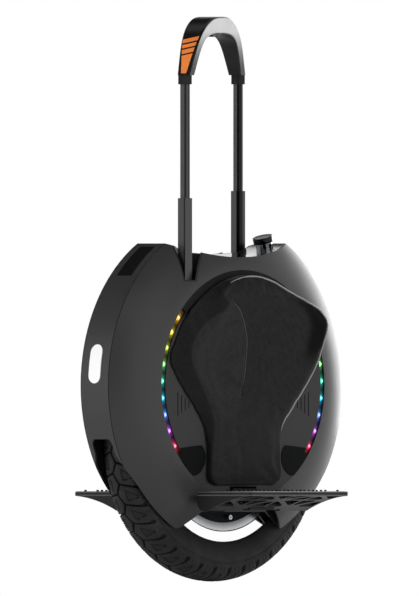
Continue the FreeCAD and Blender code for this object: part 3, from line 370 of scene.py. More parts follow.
def grip_plastic(name, colour):
    """Satin grip plastic: smooth on the crown, where hands polish it, and matt texture down its legs."""
    finish = moulded(name, colour, 0.34, 1.1, 0.06, specular=0.45)
    low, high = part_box("grip")
    matt = finish.span(finish.parts(finish.place)["Z"], high.z - GRIP_POLISH, low.z + GRIP_MATT, to_high=0.4)
    rough = finish.math("ADD", finish.linked("Roughness"), matt)
    finish.tree.links.new(rough, finish.shader.inputs["Roughness"])
    return finish


def inlay_enamel(name, colour, line_colour):
    """Coloured enamel on the grip, with a dark head and three dark lines that slant across it."""
    finish = moulded(name, colour, 0.4, 1.0, 0.04, tint=0.05)
    across = finish.vector("DOT_PRODUCT", finish.place, POST_SIDE)
    end = finish.math("SIGN", finish.vector("DOT_PRODUCT", finish.place, POST_LINE))
    lean = finish.math("MULTIPLY", finish.math("MULTIPLY", across, end), INLAY_SLOPE)
    level = finish.math("SUBTRACT", finish.parts(finish.place)["Z"], lean)
    dark = finish.math("GREATER_THAN", level, INLAY_HEAD)
    for drop in INLAY_LINES:
        away = finish.math("ABSOLUTE", finish.math("SUBTRACT", level, INLAY_HEAD - drop))
        dark = finish.math("MAXIMUM", dark, finish.math("LESS_THAN", away, INLAY_LINE_HALF))
    return finish.paint_over(dark, line_colour)


def select_only(piece):
    """Makes one piece the selected and active object."""
    bpy.ops.object.select_all(action="DESELECT")
    piece.select_set(True)
    bpy.context.view_layer.objects.active = piece


def fresh(name, kind, **settings):
    """Adds a primitive with nothing else selected and names it."""
    bpy.ops.object.select_all(action="DESELECT")
    getattr(bpy.ops.mesh, kind)(**settings)
    piece = bpy.context.active_object
    piece.name = name
    piece.data.name = name
    return piece


def settle(piece):
    """Puts a piece's place, turn and size into its mesh."""
    select_only(piece)
    bpy.ops.object.transform_apply(location=True, rotation=True, scale=True)


def apply_modifier(piece, kind, **settings):
    """Adds a modifier with its settings and applies it."""
    select_only(piece)
    modifier = piece.modifiers.new(kind.title(), kind)
    for key, value in settings.items():
        setattr(modifier, key, value)
    bpy.ops.object.modifier_apply(modifier=modifier.name)


def smooth(piece, angle):
    """Shades a piece smooth but for edges sharper than an angle in degrees."""
    select_only(piece)
    bpy.ops.object.shade_smooth_by_angle(angle=math.radians(angle))


def pull(move):
    """Extrudes what is selected."""
    bpy.ops.mesh.extrude_region_move(TRANSFORM_OT_translate={"value": move})


def dress(piece, finish):
    """One finish over the whole of a piece."""
    piece.data.materials.clear()
    piece.data.materials.append(finish.material)


def join(pieces, name):
    """Joins like pieces into one object."""
    select_only(pieces[0])
    for piece in pieces:
        piece.select_set(True)
    bpy.ops.object.join()
    pieces[0].name = name
    pieces[0].data.name = name
    return pieces[0]


def mirror_copy(piece, name):
    """The same piece on the rider's right, with its faces turned outwards again."""
    twin = piece.copy()
    twin.data = piece.data.copy()
    twin.name = name
    twin.data.name = name
    bpy.context.scene.collection.objects.link(twin)
    for vertex in twin.data.vertices:
        vertex.co.y = -vertex.co.y
    twin.data.flip_normals()
    return twin


def size_setting(name, description, size_mm):
    """A length, with its default in millimetres."""
    return FloatProperty(name=name, description=description, unit="LENGTH", default=size_mm * MM)


def angle_setting(name, description, degrees):
    """An angle, with its default in degrees."""
    return FloatProperty(name=name, description=description, subtype="ANGLE", default=math.radians(degrees))


def count_setting(name, description, number):
    """A whole number."""
    return IntProperty(name=name, description=description, subtype="UNSIGNED", default=number)


def colour_setting(name, description, colour):
    """A colour, with its default in hex."""
    return FloatVectorProperty(name=name, description=description, subtype="COLOR", size=4,
                               default=linear(colour))


class UnicycleFinishes(bpy.types.PropertyGroup):
    """Colours of the main finishes."""

    shell: colour_setting("Shell", "Satin shell plastic", "#303031")
    panel: colour_setting("Panel", "Grained side panel", "#303030")
    pad: colour_setting("Pad", "Knee pad's cloth", "#292929")
    inlay: colour_setting("Inlay", "Panels on the grip", "#f0873f")


class UnicyclePadSizes(bpy.types.PropertyGroup):
    """Sizes of the knee pads."""

    puff: size_setting("Puff", "How far the simulation may swell a point", 3.0)
    voxel: size_setting("Voxel", "Remesh size before the simulation", 3.4)
    steps: count_setting("Steps", "Frames of the simulation", 20)
    trim: size_setting("Trim", "Radius of the rolled trim", 1.5)
    fold: size_setting("Fold", "Radius of the fold's edge", 0.8)


class UnicycleTyreSizes(bpy.types.PropertyGroup):
    """Sizes of the tyre and its tread; radii are from the axle."""

    radius: size_setting("Radius", "Crown of the tyre", 216.4)
    crown_radius: size_setting("Crown", "Curve across the tread", 47.0)
    shoulder_y: size_setting("Shoulder", "Half width of the tread", 27.5)
    wall_radius: size_setting("Widest", "Radius of the widest place", 186.0)
    half_width: size_setting("Half width", "Half of the widest place", 31.9)
    lip_radius: size_setting("Lip", "Foot of the sidewall", 157.4)
    lip_y: size_setting("Lip half width", "Half width at the foot", 25.5)
    seat_radius: size_setting("Seat", "Bead on the rim", 150.3)
    seat_half: size_setting("Seat half width", "Half width at the bead", 20.2)
    air_ring: size_setting("Air ring", "Middle of the air tube", 183.0)
    air_radius: size_setting("Air radius", "Room for the air tube", 26.0)
    blocks: count_setting("Blocks", "Tread blocks round the tyre", 40)
    block_cells: count_setting("Cells", "Mesh cells in a block", 22)


class UnicyclePedalSizes(bpy.types.PropertyGroup):
    """Sizes of the lip round each pedal's deck."""

    lip: size_setting("Lip", "Radius of the raised lip", 1.1)
    corner: size_setting("Corner", "Rounding of the deck's corners", 5.0)
    root: size_setting("Root", "Where the lip starts, from the hinge side", 26.0)


class UnicycleKnobSizes(bpy.types.PropertyGroup):
    """Sizes of the power button's cap."""

    radius: size_setting("Radius", "Radius of the cap", 15.5)
    height: size_setting("Height", "Height of the cap's skirt", 9.5)
    wall: size_setting("Wall", "Wall of the skirt", 1.6)
    rim: size_setting("Rim", "Width of the rim round the top", 1.4)
    dish: size_setting("Dish", "Depth of the dished top", 0.7)


class UnicycleBeadSizes(bpy.types.PropertyGroup):
    """Sizes of the light beads."""

    radius: size_setting("Radius", "Radius of a bead", 4.2)
    ring_radius: size_setting("Ring", "Circle that the beads stand on", 173.2)
    first_angle: angle_setting("First", "Angle of the top bead", 37.0)
    step_angle: angle_setting("Step", "Angle from bead to bead", 8.7)
    glow: FloatProperty(name="Glow", description="Light of a bead", subtype="UNSIGNED", default=1.1)


class UnicycleStudio(bpy.types.PropertyGroup):
    """Camera and light."""

    azimuth: angle_setting("Azimuth", "Camera's turn from the axle towards the front", 45.0)
    scale: size_setting("View height", "Height of the camera's view", 916.9)
    aim_z: size_setting("Aim height", "Height of the view's middle", 436.3)
    aim_side: size_setting("Aim aside", "View's middle from the axis", -3.1)


finishes = {}


def make_finishes(colours, beads):
    """Every finish, each after the real material, with the nodes that wear it."""
    return [
        # Shell and panels: a wide soft highlight on the curve, flatter and grainier on the panel, dull wells.
        (moulded("satin_abs", colours.shell, 0.38, 1.2, 0.05, specular=0.4),
         "left_shell right_shell front_band rear_band"),
        # The panel's black behind the pad's top is a painted shadow.
        (panel_plastic("panel_abs", colours.panel, "#040404"), "left_side_panel right_side_panel"),
        (moulded("dark_abs", "#151515", 0.6, 1.5, 0.1), "wheel_arch front_pocket rear_pocket"),
        # Saddle and socket: piano gloss that mirrors the sky. Windows and grilles: flat black holes.
        (moulded("gloss_black", "#0d0d0e", 0.12, 3.0, 0.01, coat=0.6), "saddle_top"),
        (moulded("button_plastic", "#0d0d0e", 0.15, 2.0, 0.02, coat=0.5), "charge_port"),
        (moulded("window_black", "#0a0a0b", 0.5, 1.5, 0.05, specular=0.12), "front_window rear_window"),
        (moulded("grille_abs", "#0b0c0c", 0.75, 2.2, 0.35, specular=0.12), "speaker_grilles speakers"),
        # Light channel: a thread of colour between the beads. Lenses: an even milky glow over a mirror.
        (lit_channel("channel_black", beads.first_angle, beads.step_angle),
         "left_light_channel right_light_channel"),
        (lamp_plastic("lens_white", "#e6e6e6", 0.1), "headlight_lens"),
        (lamp_plastic("lens_red", "#b3121a", 0.15), "tail_light_lens"),
        (polished_metal("reflector_chrome", "#dfe1e4", 0.08), "lamp_reflectors"),
        # Wheel: dull black rubber with painted shade in its cuts, a mirror rim, and a cover with one bright
        # turned edge with painted shade on its inner side.
        (tyre_rubber("tyre_rubber", "#232323", "#060606"), "tyre"),
        (moulded("butyl", "#1a1a1a", 0.7, 2.0, 0.1), "inner_tube"),
        (polished_metal("rim_polish", "#ffffff", 0.06), "rim"),
        (turned_metal("cover_turned", "#c4c6c8", "#77797b", "#1c1d1e"), "left_motor_cover right_motor_cover"),
        (polished_metal("bright_steel", "#c8c9cb", 0.22),
         "axle axle_nuts hinge_pins bearings cover_bolts valve_stem magnets"),
        (moulded("wound_iron", "#5a3a22", 0.5, 1.5, 0.4), "stator"),
        # Hidden frame and cells: plain satin paint, and blue shrink film.
        (moulded("frame_paint", "#161616", 0.5, 1.0, 0.15),
         "left_frame_plate right_frame_plate left_hanger right_hanger"),
        (moulded("battery_wrap", "#24324d", 0.45, 2.0, 0.05), "battery_packs control_box"),
        # Handle: grey metal with long dark stripes of painted shade, a polished black crown, and flat bright
        # enamel.
        (anodised_tube("post_anodised", "#454546", 0.32),
         "front_tube_guide rear_tube_guide front_sleeve rear_sleeve front_inner_post rear_inner_post"),
        (grip_plastic("grip_satin", "#0e0e0f"), "grip collars"),
        (inlay_enamel("inlay_orange", colours.inlay, "#1a0d06"), "grip_inlays"),
        (moulded("button_rubber", "#0b0b0c", 0.55, 1.5, 0.05, specular=0.12), "release_button"),
        # Power button: a near-black skirt, a brushed bright top and a grey chrome base.
        (polished_metal("button_metal", "#2b2b2d", 0.1), "power_button"),
        (polished_metal("button_face", "#e4e5e7", 0.45), ""),
        (polished_metal("base_chrome", "#8d8e90", 0.1), "power_button_base"),
        # Pedals: black with painted highlights along the edges, a pale lip round the deck as a painted
        # highlight, and dark steel studs.
        (pedal_anodising("pedal_anodised", "#0d0d0e", "#4c4d4e"), "left_pedal right_pedal"),
        # The pale lip is a painted highlight.
        (moulded("pedal_lip_highlight", "#7c7d7f", 0.32, 1.0, 0.03), ""),
        (polished_metal("stud_steel", "#262628", 0.35), "left_pedal_studs right_pedal_studs"),
        # Pads: matt cloth that drinks light with painted shade, a painted highlight along its rolled trim and a
        # fainter one on its fold.
        (pad_cloth("pad_cloth", colours.pad, "#181818"), ""),
        # Trim and fold: lighter than the cloth, as painted highlights.
        (moulded("trim_highlight", "#7c7c7c", 0.35, 1.0, 0.05), ""),
        (moulded("fold_highlight", "#3a3a3a", 0.45, 1.0, 0.05), ""),
    ]


class UNICYCLE_OT_finish(bpy.types.Operator):
    """Give every rigid piece its finish"""

    bl_idname = "unicycle.finish"
    bl_label = "Finish the rigid pieces"

    def execute(self, context):
        for finish, nodes in make_finishes(context.scene.unicycle_finishes, context.scene.unicycle_beads):
            finishes[finish.name] = finish
            for node in nodes.split():
                dress(frame["nodes"][node], finish)
        return {"FINISHED"}


# The pad in millimetres: its back, and by height its front and rear half widths, ridge, crease and rear edge.
PAD_BASE_Y = 68.8
PadRow = namedtuple("PadRow", "z front rear ridge_x ridge_y crease_x crease_y wing_y")
PAD_ROWS = [PadRow(*row) for row in (
    (149, 66, 65, 60, 75.5, 10, 76.5, 75.5), (154, 75, 73, 71, 78.0, 10, 79.0, 78.0),
    (162, 80, 77, 77, 79.5, 12, 80.5, 79.0), (200, 80, 76, 76, 79.8, 20, 80.8, 79.5),
    (238, 88, 78, 72, 79.8, 30, 80.5, 80.5), (266, 107, 98, 80, 79.2, 20, 78.6, 82.5),
    (293, 131, 117, 96, 79.0, 13, 76.4, 87.5), (320, 152, 132, 113, 79.2, 7, 75.4, 94.0),
    (345, 164, 141, 123, 79.6, 4, 75.4, 101.0), (372, 152, 146, 117, 80.2, 3, 76.0, 107.0),
    (398, 138, 148, 90, 80.8, 10, 77.4, 110.0), (420, 119, 134, 52, 82.4, 24, 80.4, 108.5),
    (429, 108, 118, 46, 83.4, 36, 82.4, 106.0), (440, 93, 97, 58, 84.6, 50, 84.4, 101.5),
    (456, 65, 65, 46, 85.6, 34, 86.4, 94.5), (466, 38, 45, 30, 85.8, 20, 87.2, 90.5),
    (472, 14, 18, 8, 85.0, 4, 86.0, 87.0),
)]
PAD_FOOT, PAD_TOP = PAD_ROWS[0].z, PAD_ROWS[-1].z
PAD_RINGS, PAD_RING_POINTS = 81, 72
# Hollow between ridge and crease, and the width at which it is deepest.
SCOOP_DEPTH, SCOOP_WIDTH = 1.6, 90
# The rear wing's hook: how far in it turns, how far it dips, and the heights where it rises and falls.
HOOK_REACH, HOOK_DIP = 36.0, 0.18
HOOK_RISE, HOOK_FALL = (315, 360), (425, 455)
# The sewn crease: heights between which it runs, its depth and its reach to each side.
CREASE_HEIGHTS = range(285, 445, 3)
CREASE_DEPTH, CREASE_REACH = 1.6 * MM, 3.2 * MM
PAD_FACE_Y = 72.0 * MM
# How much darker the rear of the face, the bevel, the hook, the side walls and the top are; all but the bevel
# are painted shade.
REAR_SHADE, BEVEL_DARK, HOOK_SHADE, WALL_SHADE, TOP_SHADE = 0.22, 0.55, 0.97, 0.7, 0.35
# Where each starts and is full, from the crease, the ridge, the rear edge or the wing, or by height.
REAR_FROM_CREASE, BEVEL_FROM_RIDGE = (2.0, -2.0), (-1.5, 2.5)
HOOK_FROM_REAR, HOOK_SHADE_RISE, HOOK_SHADE_FALL = (40.0, 26.0), (330, 362), (424, 440)
WALL_FROM_REAR, WALL_FROM_WING = (12.0, 3.0), (-3.0, -7.0)
TOP_HEIGHTS = (440, 466)
# The rolled trim: heights up the rear edge, points over the top, heights down the front, lift off the cloth.
TRIM_UP, TRIM_DOWN, TRIM_LIFT = range(232, 468, 6), (466, 460), 0.4 * MM
TRIM_OVER = [Vector((x, 87.5, 474.0)) for x in (-22.0, -6.0, 8.0)]
# The fold's lit edge: its shift from the crease, and how far it sinks into the cloth.
FOLD_SHIFT, FOLD_SINK = Vector((-1.6, 2.0, 0.0)) * MM, 0.3 * MM
# A trim's radius at its tip, and what each point adds to it, as a share.
TIP_SHARE = 0.25
PAD_CLOTH = {"use_pressure": True, "uniform_pressure_force": 4.0, "vertex_group_mass": "held",
             "tension_stiffness": 25.0, "compression_stiffness": 25.0, "shear_stiffness": 12.0}


def eased(low, high, value):
    """Goes smoothly from 0 at one value to 1 at another."""
    share = min(1.0, max(0.0, (value - low) / (high - low)))
    return share * share * (3 - 2 * share)


def eased_from(origin, ends, value):
    """Goes smoothly from 0 to 1 between two places that are given from an origin."""
    return eased(origin + ends[0], origin + ends[1], value)


def pad_row(z):
    """The pad's section values at a height, on smooth lines through the listed rows."""
    last = len(PAD_ROWS) - 1
    index = max(i for i in range(last) if i == 0 or PAD_ROWS[i].z <= z)
    before, low, high, after = (PAD_ROWS[min(last, max(0, i))] for i in range(index - 1, index + 3))
    step = high.z - low.z
    share = (z - low.z) / step
    back = 1 - share
    values = []
    for a, b, c, d in zip(before, low, high, after):
        leave = (c - a) / (high.z - before.z) * step
        arrive = (d - b) / (after.z - low.z) * step
        values.append(b * (1 + 2 * share) * back ** 2 + c * (3 - 2 * share) * share ** 2
                      + leave * share * back ** 2 - arrive * back * share ** 2)
    return PadRow(*values)


def pad_profile(row):
    """Points across the pad from its front foot over ridge, scoop, crease and wing to its rear foot."""
    base, rear, wing_y = PAD_BASE_Y, row.rear, row.wing_y
    scoop = SCOOP_DEPTH * min(1.0, max(0.0, (row.ridge_x - row.crease_x) / SCOOP_WIDTH))
    hook = eased(*HOOK_RISE, row.z) * (1 - eased(*HOOK_FALL, row.z))
    turn_x = HOOK_REACH - rear
    plain = (turn_x - row.crease_x) / (4.0 - rear - row.crease_x)
    turn_y = row.crease_y + (wing_y - row.crease_y) * (plain - HOOK_DIP * hook)
    corners = [(row.front - 1.0, base), (row.front, base + 2.5), (row.ridge_x + 3.0, row.ridge_y - 0.7),
               (row.ridge_x - 2.0, row.ridge_y),
               ((row.ridge_x + row.crease_x) / 2, (row.ridge_y + row.crease_y) / 2 - scoop),
               (row.crease_x, row.crease_y), (turn_x, turn_y), (3.0 - rear, wing_y), (0.8 - rear, wing_y - 1.2),
               (-rear, wing_y - 4.0), (3.0 - rear, base)]
    lengths = [0.0]
    for a, b in zip(corners, corners[1:]):
        lengths.append(lengths[-1] + math.dist(a, b))
    points = []
    for number in range(PAD_RING_POINTS):
        reach = lengths[-1] * number / (PAD_RING_POINTS - 1)
        index = max(i for i in range(len(lengths) - 1) if lengths[i] <= reach + 1e-9)
        share = (reach - lengths[index]) / (lengths[index + 1] - lengths[index])
        a, b = corners[index], corners[index + 1]
        points.append(Vector((a[0] + (b[0] - a[0]) * share, a[1] + (b[1] - a[1]) * share, row.z)) * MM)
    return points


def pad_shape(name):
    """The pad as a closed mesh: rings of its section, a flat back and closed ends."""
    heights = [PAD_FOOT + (PAD_TOP - PAD_FOOT) * i / (PAD_RINGS - 1) for i in range(PAD_RINGS)]
    mesh = bmesh.new()
    rings = [[mesh.verts.new(point) for point in pad_profile(pad_row(z))] for z in heights]
    for low, high in zip(rings, rings[1:]):
        for i in range(PAD_RING_POINTS):
            j = (i + 1) % PAD_RING_POINTS
            mesh.faces.new((low[i], low[j], high[j], high[i]))
    mesh.faces.new(rings[0])
    mesh.faces.new(rings[-1])
    bmesh.ops.recalc_face_normals(mesh, faces=mesh.faces)
    data = bpy.data.meshes.new(name)
    mesh.to_mesh(data)
    mesh.free()
    pad = bpy.data.objects.new(name, data)
    bpy.context.scene.collection.objects.link(pad)
    return pad


def inflate(pad, sizes):
    """Swells the pad by a short cloth simulation, its back held flat and each point's move capped."""
    rest = [vertex.co.copy() for vertex in pad.data.vertices]
    held = pad.vertex_groups.new(name="held")
    held.add([i for i, place in enumerate(rest) if place.y < (PAD_BASE_Y + 1.5) * MM], 1.0, "REPLACE")
    cloth = pad.modifiers.new("Cloth", "CLOTH")
    cloth.settings.effector_weights.gravity = 0.0
    for key, value in PAD_CLOTH.items():
        setattr(cloth.settings, key, value)
    cloth.point_cache.frame_start = 1
    cloth.point_cache.frame_end = sizes.steps
    for step in range(1, sizes.steps + 1):
        bpy.context.scene.frame_set(step)
    swollen = pad.evaluated_get(bpy.context.evaluated_depsgraph_get()).to_mesh()
    moved = [vertex.co.copy() for vertex in swollen.vertices]
    pad.modifiers.remove(cloth)
    for vertex, start, end in zip(pad.data.vertices, rest, moved):
        shift = end - start
        vertex.co = start + shift * min(1.0, sizes.puff / max(shift.length, 1e-9))
    bpy.context.scene.frame_set(1)
    pad.vertex_groups.remove(held)


def crease_path():
    """Points along the pad's crease, on its face."""
    return [Vector((row.crease_x, row.crease_y, row.z)) * MM for row in map(pad_row, CREASE_HEIGHTS)]


def press_crease(pad):
    """Draws a sewn crease into the pad's face along its path."""
    path = crease_path()
    for vertex in pad.data.vertices:
        if vertex.co.y < PAD_FACE_Y:
            continue
        flat = min(math.hypot(vertex.co.x - point.x, vertex.co.z - point.z) for point in path)
        if flat < CREASE_REACH:
            vertex.co.y -= CREASE_DEPTH * (1 - flat / CREASE_REACH) ** 1.5


def soften(pad, turns):
    """Evens the pad's surface without moving its back."""
    mesh = bmesh.new()
    mesh.from_mesh(pad.data)
    verts = [vertex for vertex in mesh.verts if vertex.co.y > (PAD_BASE_Y + 2) * MM]
    for _ in range(turns):
        bmesh.ops.smooth_vert(mesh, verts=verts, factor=0.5, use_axis_x=True, use_axis_y=True, use_axis_z=True)
    mesh.to_mesh(pad.data)
    mesh.free()


def tube_along(name, points, radius, finish):
    """A round trim that follows points on one smooth line and thins at its ends, as a finished mesh."""
    curve = bpy.data.curves.new(name, "CURVE")
    curve.dimensions = "3D"
    curve.bevel_depth = radius
    curve.bevel_resolution = 3
    curve.use_fill_caps = True
    spline = curve.splines.new("NURBS")
    spline.points.add(len(points) - 1)
    for number, (spot, point) in enumerate(zip(spline.points, points)):
        spot.co = (*point, 1.0)
        spot.radius = min(1.0, TIP_SHARE + TIP_SHARE * min(number, len(points) - 1 - number))
    spline.order_u = 3
    spline.use_endpoint_u = True
    holder = bpy.data.objects.new(name, curve)
    bpy.context.scene.collection.objects.link(holder)
    select_only(holder)
    bpy.ops.object.convert(target="MESH")
    tube = bpy.context.active_object
    tube.data.name = name
    smooth(tube, 60.0)
    dress(tube, finish)
    return tube


def pad_edge_path(pad):
    """The rolled trim's line on the made pad: up its rear edge and over the top to the front."""
    points = [Vector((3.0 - row.rear, row.wing_y + 1.0, row.z)) for row in map(pad_row, TRIM_UP)]
    points += TRIM_OVER
    points += [Vector((row.ridge_x + 3.0, row.ridge_y + 0.5, row.z + 3.0)) for row in map(pad_row, TRIM_DOWN)]
    spots = [pad.closest_point_on_mesh(point * MM) for point in points]
    return [place + normal * TRIM_LIFT for _, place, normal, _ in spots]


def pad_fold_path(pad):
    """Points of the fold's lit edge, on the made pad beside its crease."""
    spots = [pad.closest_point_on_mesh(point + FOLD_SHIFT) for point in crease_path()[4::2]]
    return [place - normal * FOLD_SINK for _, place, normal, _ in spots]


def shade_pad(pad):
    """Marks how dark the pad's cloth is: a light face, a darker bevel, and painted shade on the rear of the
    face, the hooked edge, the side walls and the top.
    """
    tone = pad.data.attributes.new("tone", "FLOAT", "POINT")
    for vertex, mark in zip(pad.data.vertices, tone.data):
        x, y, z = (part / MM for part in vertex.co)
        row = pad_row(min(max(z, PAD_FOOT), PAD_TOP))
        bevel = eased_from(row.ridge_x, BEVEL_FROM_RIDGE, x)
        rear = eased_from(row.crease_x, REAR_FROM_CREASE, x)
        hook = eased(*HOOK_SHADE_RISE, z) * (1 - eased(*HOOK_SHADE_FALL, z))
        hook *= eased_from(-row.rear, HOOK_FROM_REAR, x)
        wall = eased_from(row.wing_y, WALL_FROM_WING, y) * eased_from(-row.rear, WALL_FROM_REAR, x)
        top = eased(*TOP_HEIGHTS, z)
        # Painted shade on the rear, hook, side walls and top, and a darker bevel.
        mark.value = ((1 - REAR_SHADE * rear) * (1 - BEVEL_DARK * bevel) * (1 - HOOK_SHADE * hook)
                      * (1 - WALL_SHADE * wall) * (1 - TOP_SHADE * top))


# The tread in millimetres: depths of its cuts, and between which distances from the crown each kind lies.
GROOVE_DEPTH, NOTCH_DEPTH, RECESS_DEPTH, SIPE_DEPTH, TICK_DEPTH, LINE_DEPTH = 3.4, 3.0, 1.8, 0.9, 0.8, 0.7
ZIGZAG, ZIGZAG_WIDTH, ZIGZAG_SLANT = 4.5, 2.4, 0.85
# Leaning grooves: turn for each millimetre past their start, width at the crown and how it grows.
LEAN, LEAN_START, LEAN_WIDTH, LEAN_GROWTH = 0.009, 6, 1.6, 0.035
RECESS_FOOT, RECESS_TIP, RECESS_HALF, RECESS_TAPER = 13, 31, 9.0, 0.42
# Fine cuts: their number to a millimetre, and their width and edge as shares of the room that each has.
SIPE_START, SIPE_END, SIPE_INSET = 16, 28, 1.5
SIPES_PER_MM, SIPE_WIDTH, SIPE_EDGE = 0.4, 0.45, 0.4
NOTCH_START, NOTCH_WIDTH, TREAD_END, TREAD_FADE = 34, 5.0, 43, 3
TICK_START, TICK_END, TICKS_PER_BLOCK = 35, 44, 4
FINE_WIDTH = 1.4
WALL_LINES = (46.5, 50.0)
CROWN_POINTS, WALL_POINTS = 24, 26
# Painted shade: depth at which a cut is painted darkest, and the tone at the sidewall's foot.
DARK_DEPTH, FOOT_TONE = 2.4, 0.3


def in_mm(sizes):
    """A property group's values, its lengths in millimetres."""
    values = {}
    for name, kind in sizes.bl_rna.properties.items():
        value = getattr(sizes, name)
        values[name] = value / MM if getattr(kind, "unit", "") == "LENGTH" else value
    return SimpleNamespace(**values)


def tyre_line(sizes):
    """The tyre's section from lip to lip, as (distance from the crown, radius, y) in millimetres."""
    half = []
    swing = math.asin(sizes.shoulder_y / sizes.crown_radius)
    for number in range(CROWN_POINTS + 1):
        angle = swing * number / CROWN_POINTS
        half.append((sizes.crown_radius * angle, sizes.radius - sizes.crown_radius * (1 - math.cos(angle)),
                     sizes.crown_radius * math.sin(angle)))
    reach, *start = half[-1]
    middle, end = (sizes.wall_radius, sizes.half_width), (sizes.lip_radius, sizes.lip_y)
    bow = [2 * m - (s + e) / 2 for s, m, e in zip(start, middle, end)]
    last = start
    for number in range(1, WALL_POINTS + 1):
        share = number / WALL_POINTS
        sway = 2 * share * (1 - share)
        spot = [s * (1 - share) ** 2 + b * sway + e * share ** 2 for s, b, e in zip(start, bow, end)]
        reach += math.dist(spot, last)
        half.append((reach, *spot))
        last = spot
    return [(-s, r, -y) for s, r, y in reversed(half[1:])] + half


def stripe(distance, width, edge=0.8):
    """1 within a stripe and 0 outside it, with a sloped edge."""
    return min(1.0, max(0.0, (width / 2 + edge / 2 - abs(distance)) / edge))


def tread_depth(turn, place, pitch):
    """How deep the tread is cut at a turn in block lengths and a distance from the crown in millimetres."""
    side = 1 if place > 0 else -1
    away = abs(place)
    along = (turn + (0.0 if side > 0 else 0.5)) % 1.0
    # A zigzag down the middle, and leaning grooves from it to the shoulder, which end in wide notches.
    swing = ZIGZAG * (4 * abs((turn % 1.0) - 0.5) - 1)
    depth = GROOVE_DEPTH * stripe((place - swing) * ZIGZAG_SLANT, ZIGZAG_WIDTH)
    lean = LEAN * (away - LEAN_START)
    gap = ((along - lean + 0.5) % 1.0 - 0.5) * pitch
    fade = min(1.0, (TREAD_END - away) / TREAD_FADE)
    if 0 < side * (place - swing) and away < TREAD_END:
        depth = max(depth, GROOVE_DEPTH * stripe(gap, LEAN_WIDTH + LEAN_GROWTH * away) * fade)
    if NOTCH_START < away < TREAD_END:
        depth = max(depth, NOTCH_DEPTH * stripe(gap, NOTCH_WIDTH) * fade)
    # A three-sided line on each block, with fine cuts inside it.
    inner = abs(abs(gap) - pitch / 2)
    narrow = RECESS_HALF - RECESS_TAPER * abs(away - RECESS_FOOT)
    if RECESS_FOOT < away < RECESS_TIP:
        depth = max(depth, RECESS_DEPTH * stripe(inner - narrow, FINE_WIDTH))
        if inner < narrow - SIPE_INSET and SIPE_START < away < SIPE_END:
            sipe = (away * SIPES_PER_MM + 0.5) % 1.0 - 0.5
            depth = max(depth, SIPE_DEPTH * stripe(sipe, SIPE_WIDTH, SIPE_EDGE))
    depth = max(depth, RECESS_DEPTH * stripe(away - RECESS_FOOT, FINE_WIDTH) * (inner < narrow))
    # Short ticks on the shoulder, and two lines round the sidewall.
    if TICK_START < away < TICK_END:
        tick = ((along * TICKS_PER_BLOCK) % 1.0 - 0.5) * pitch / TICKS_PER_BLOCK
        depth = max(depth, TICK_DEPTH * stripe(tick, FINE_WIDTH))
    return max(depth, *(LINE_DEPTH * stripe(away - line, FINE_WIDTH) for line in WALL_LINES))


class UNICYCLE_OT_tyre(bpy.types.Operator):
    """Roll a grid into the tyre and cut its tread"""

    bl_idname = "unicycle.tyre"
    bl_label = "Make the tyre"

    def execute(self, context):
        sizes = in_mm(context.scene.unicycle_tyre)
        line = tyre_line(sizes)
        hollow = [(0.0, sizes.air_ring + sizes.air_radius * math.cos(angle), sizes.air_radius * math.sin(angle))
                  for angle in (math.radians(a) for a in range(145, -146, -29))]
        foot = [(0.0, sizes.seat_radius, sizes.seat_half), (0.0, sizes.seat_radius, sizes.seat_half - 6.0)]
        section = line + foot + hollow + [(s, r, -y) for s, r, y in reversed(foot)]
        section.append(section[0])
        last = len(section) - 1
        count = sizes.blocks * sizes.block_cells
        tyre = fresh("tread_tyre", "primitive_grid_add", x_subdivisions=count, y_subdivisions=last, size=2.0)
        pitch = 2 * math.pi * sizes.radius / sizes.blocks
        worn = tyre.data.attributes.new("worn", "FLOAT", "POINT")
        for vertex, mark in zip(tyre.data.vertices, worn.data):
            turn = round((vertex.co.x + 1) / 2 * count) % count
            index = round((vertex.co.y + 1) / 2 * last)
            place, radius, y = section[index]
            depth = 0.0
            if 0 < index < len(line) - 1:
                depth = tread_depth(turn / sizes.block_cells, place, pitch)
                before, after = line[index - 1], line[index + 1]
                run = Vector((after[2] - before[2], before[1] - after[1])).normalized()
                radius -= depth * run.x
                y -= depth * run.y
            # Cuts and the sidewall's foot are marked darker, as painted shade.
            wall = eased(sizes.lip_radius, sizes.wall_radius, radius)
            mark.value = (1.0 - min(1.0, depth / DARK_DEPTH)) * (FOOT_TONE + (1 - FOOT_TONE) * wall)
            angle = 2 * math.pi * turn / count
            vertex.co = Vector((radius * math.sin(angle), y, radius * math.cos(angle))) * MM + WHEEL_MIDDLE
        bpy.ops.object.mode_set(mode="EDIT")
        bpy.ops.mesh.select_all(action="SELECT")
        bpy.ops.mesh.remove_doubles(threshold=0.01 * MM)
        bpy.ops.mesh.normals_make_consistent(inside=False)
        bpy.ops.object.mode_set(mode="OBJECT")
        smooth(tyre, 35.0)
        dress(tyre, finishes["tyre_rubber"])
        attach(tyre, "wheel")
        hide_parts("tyre")
        return {"FINISHED"}


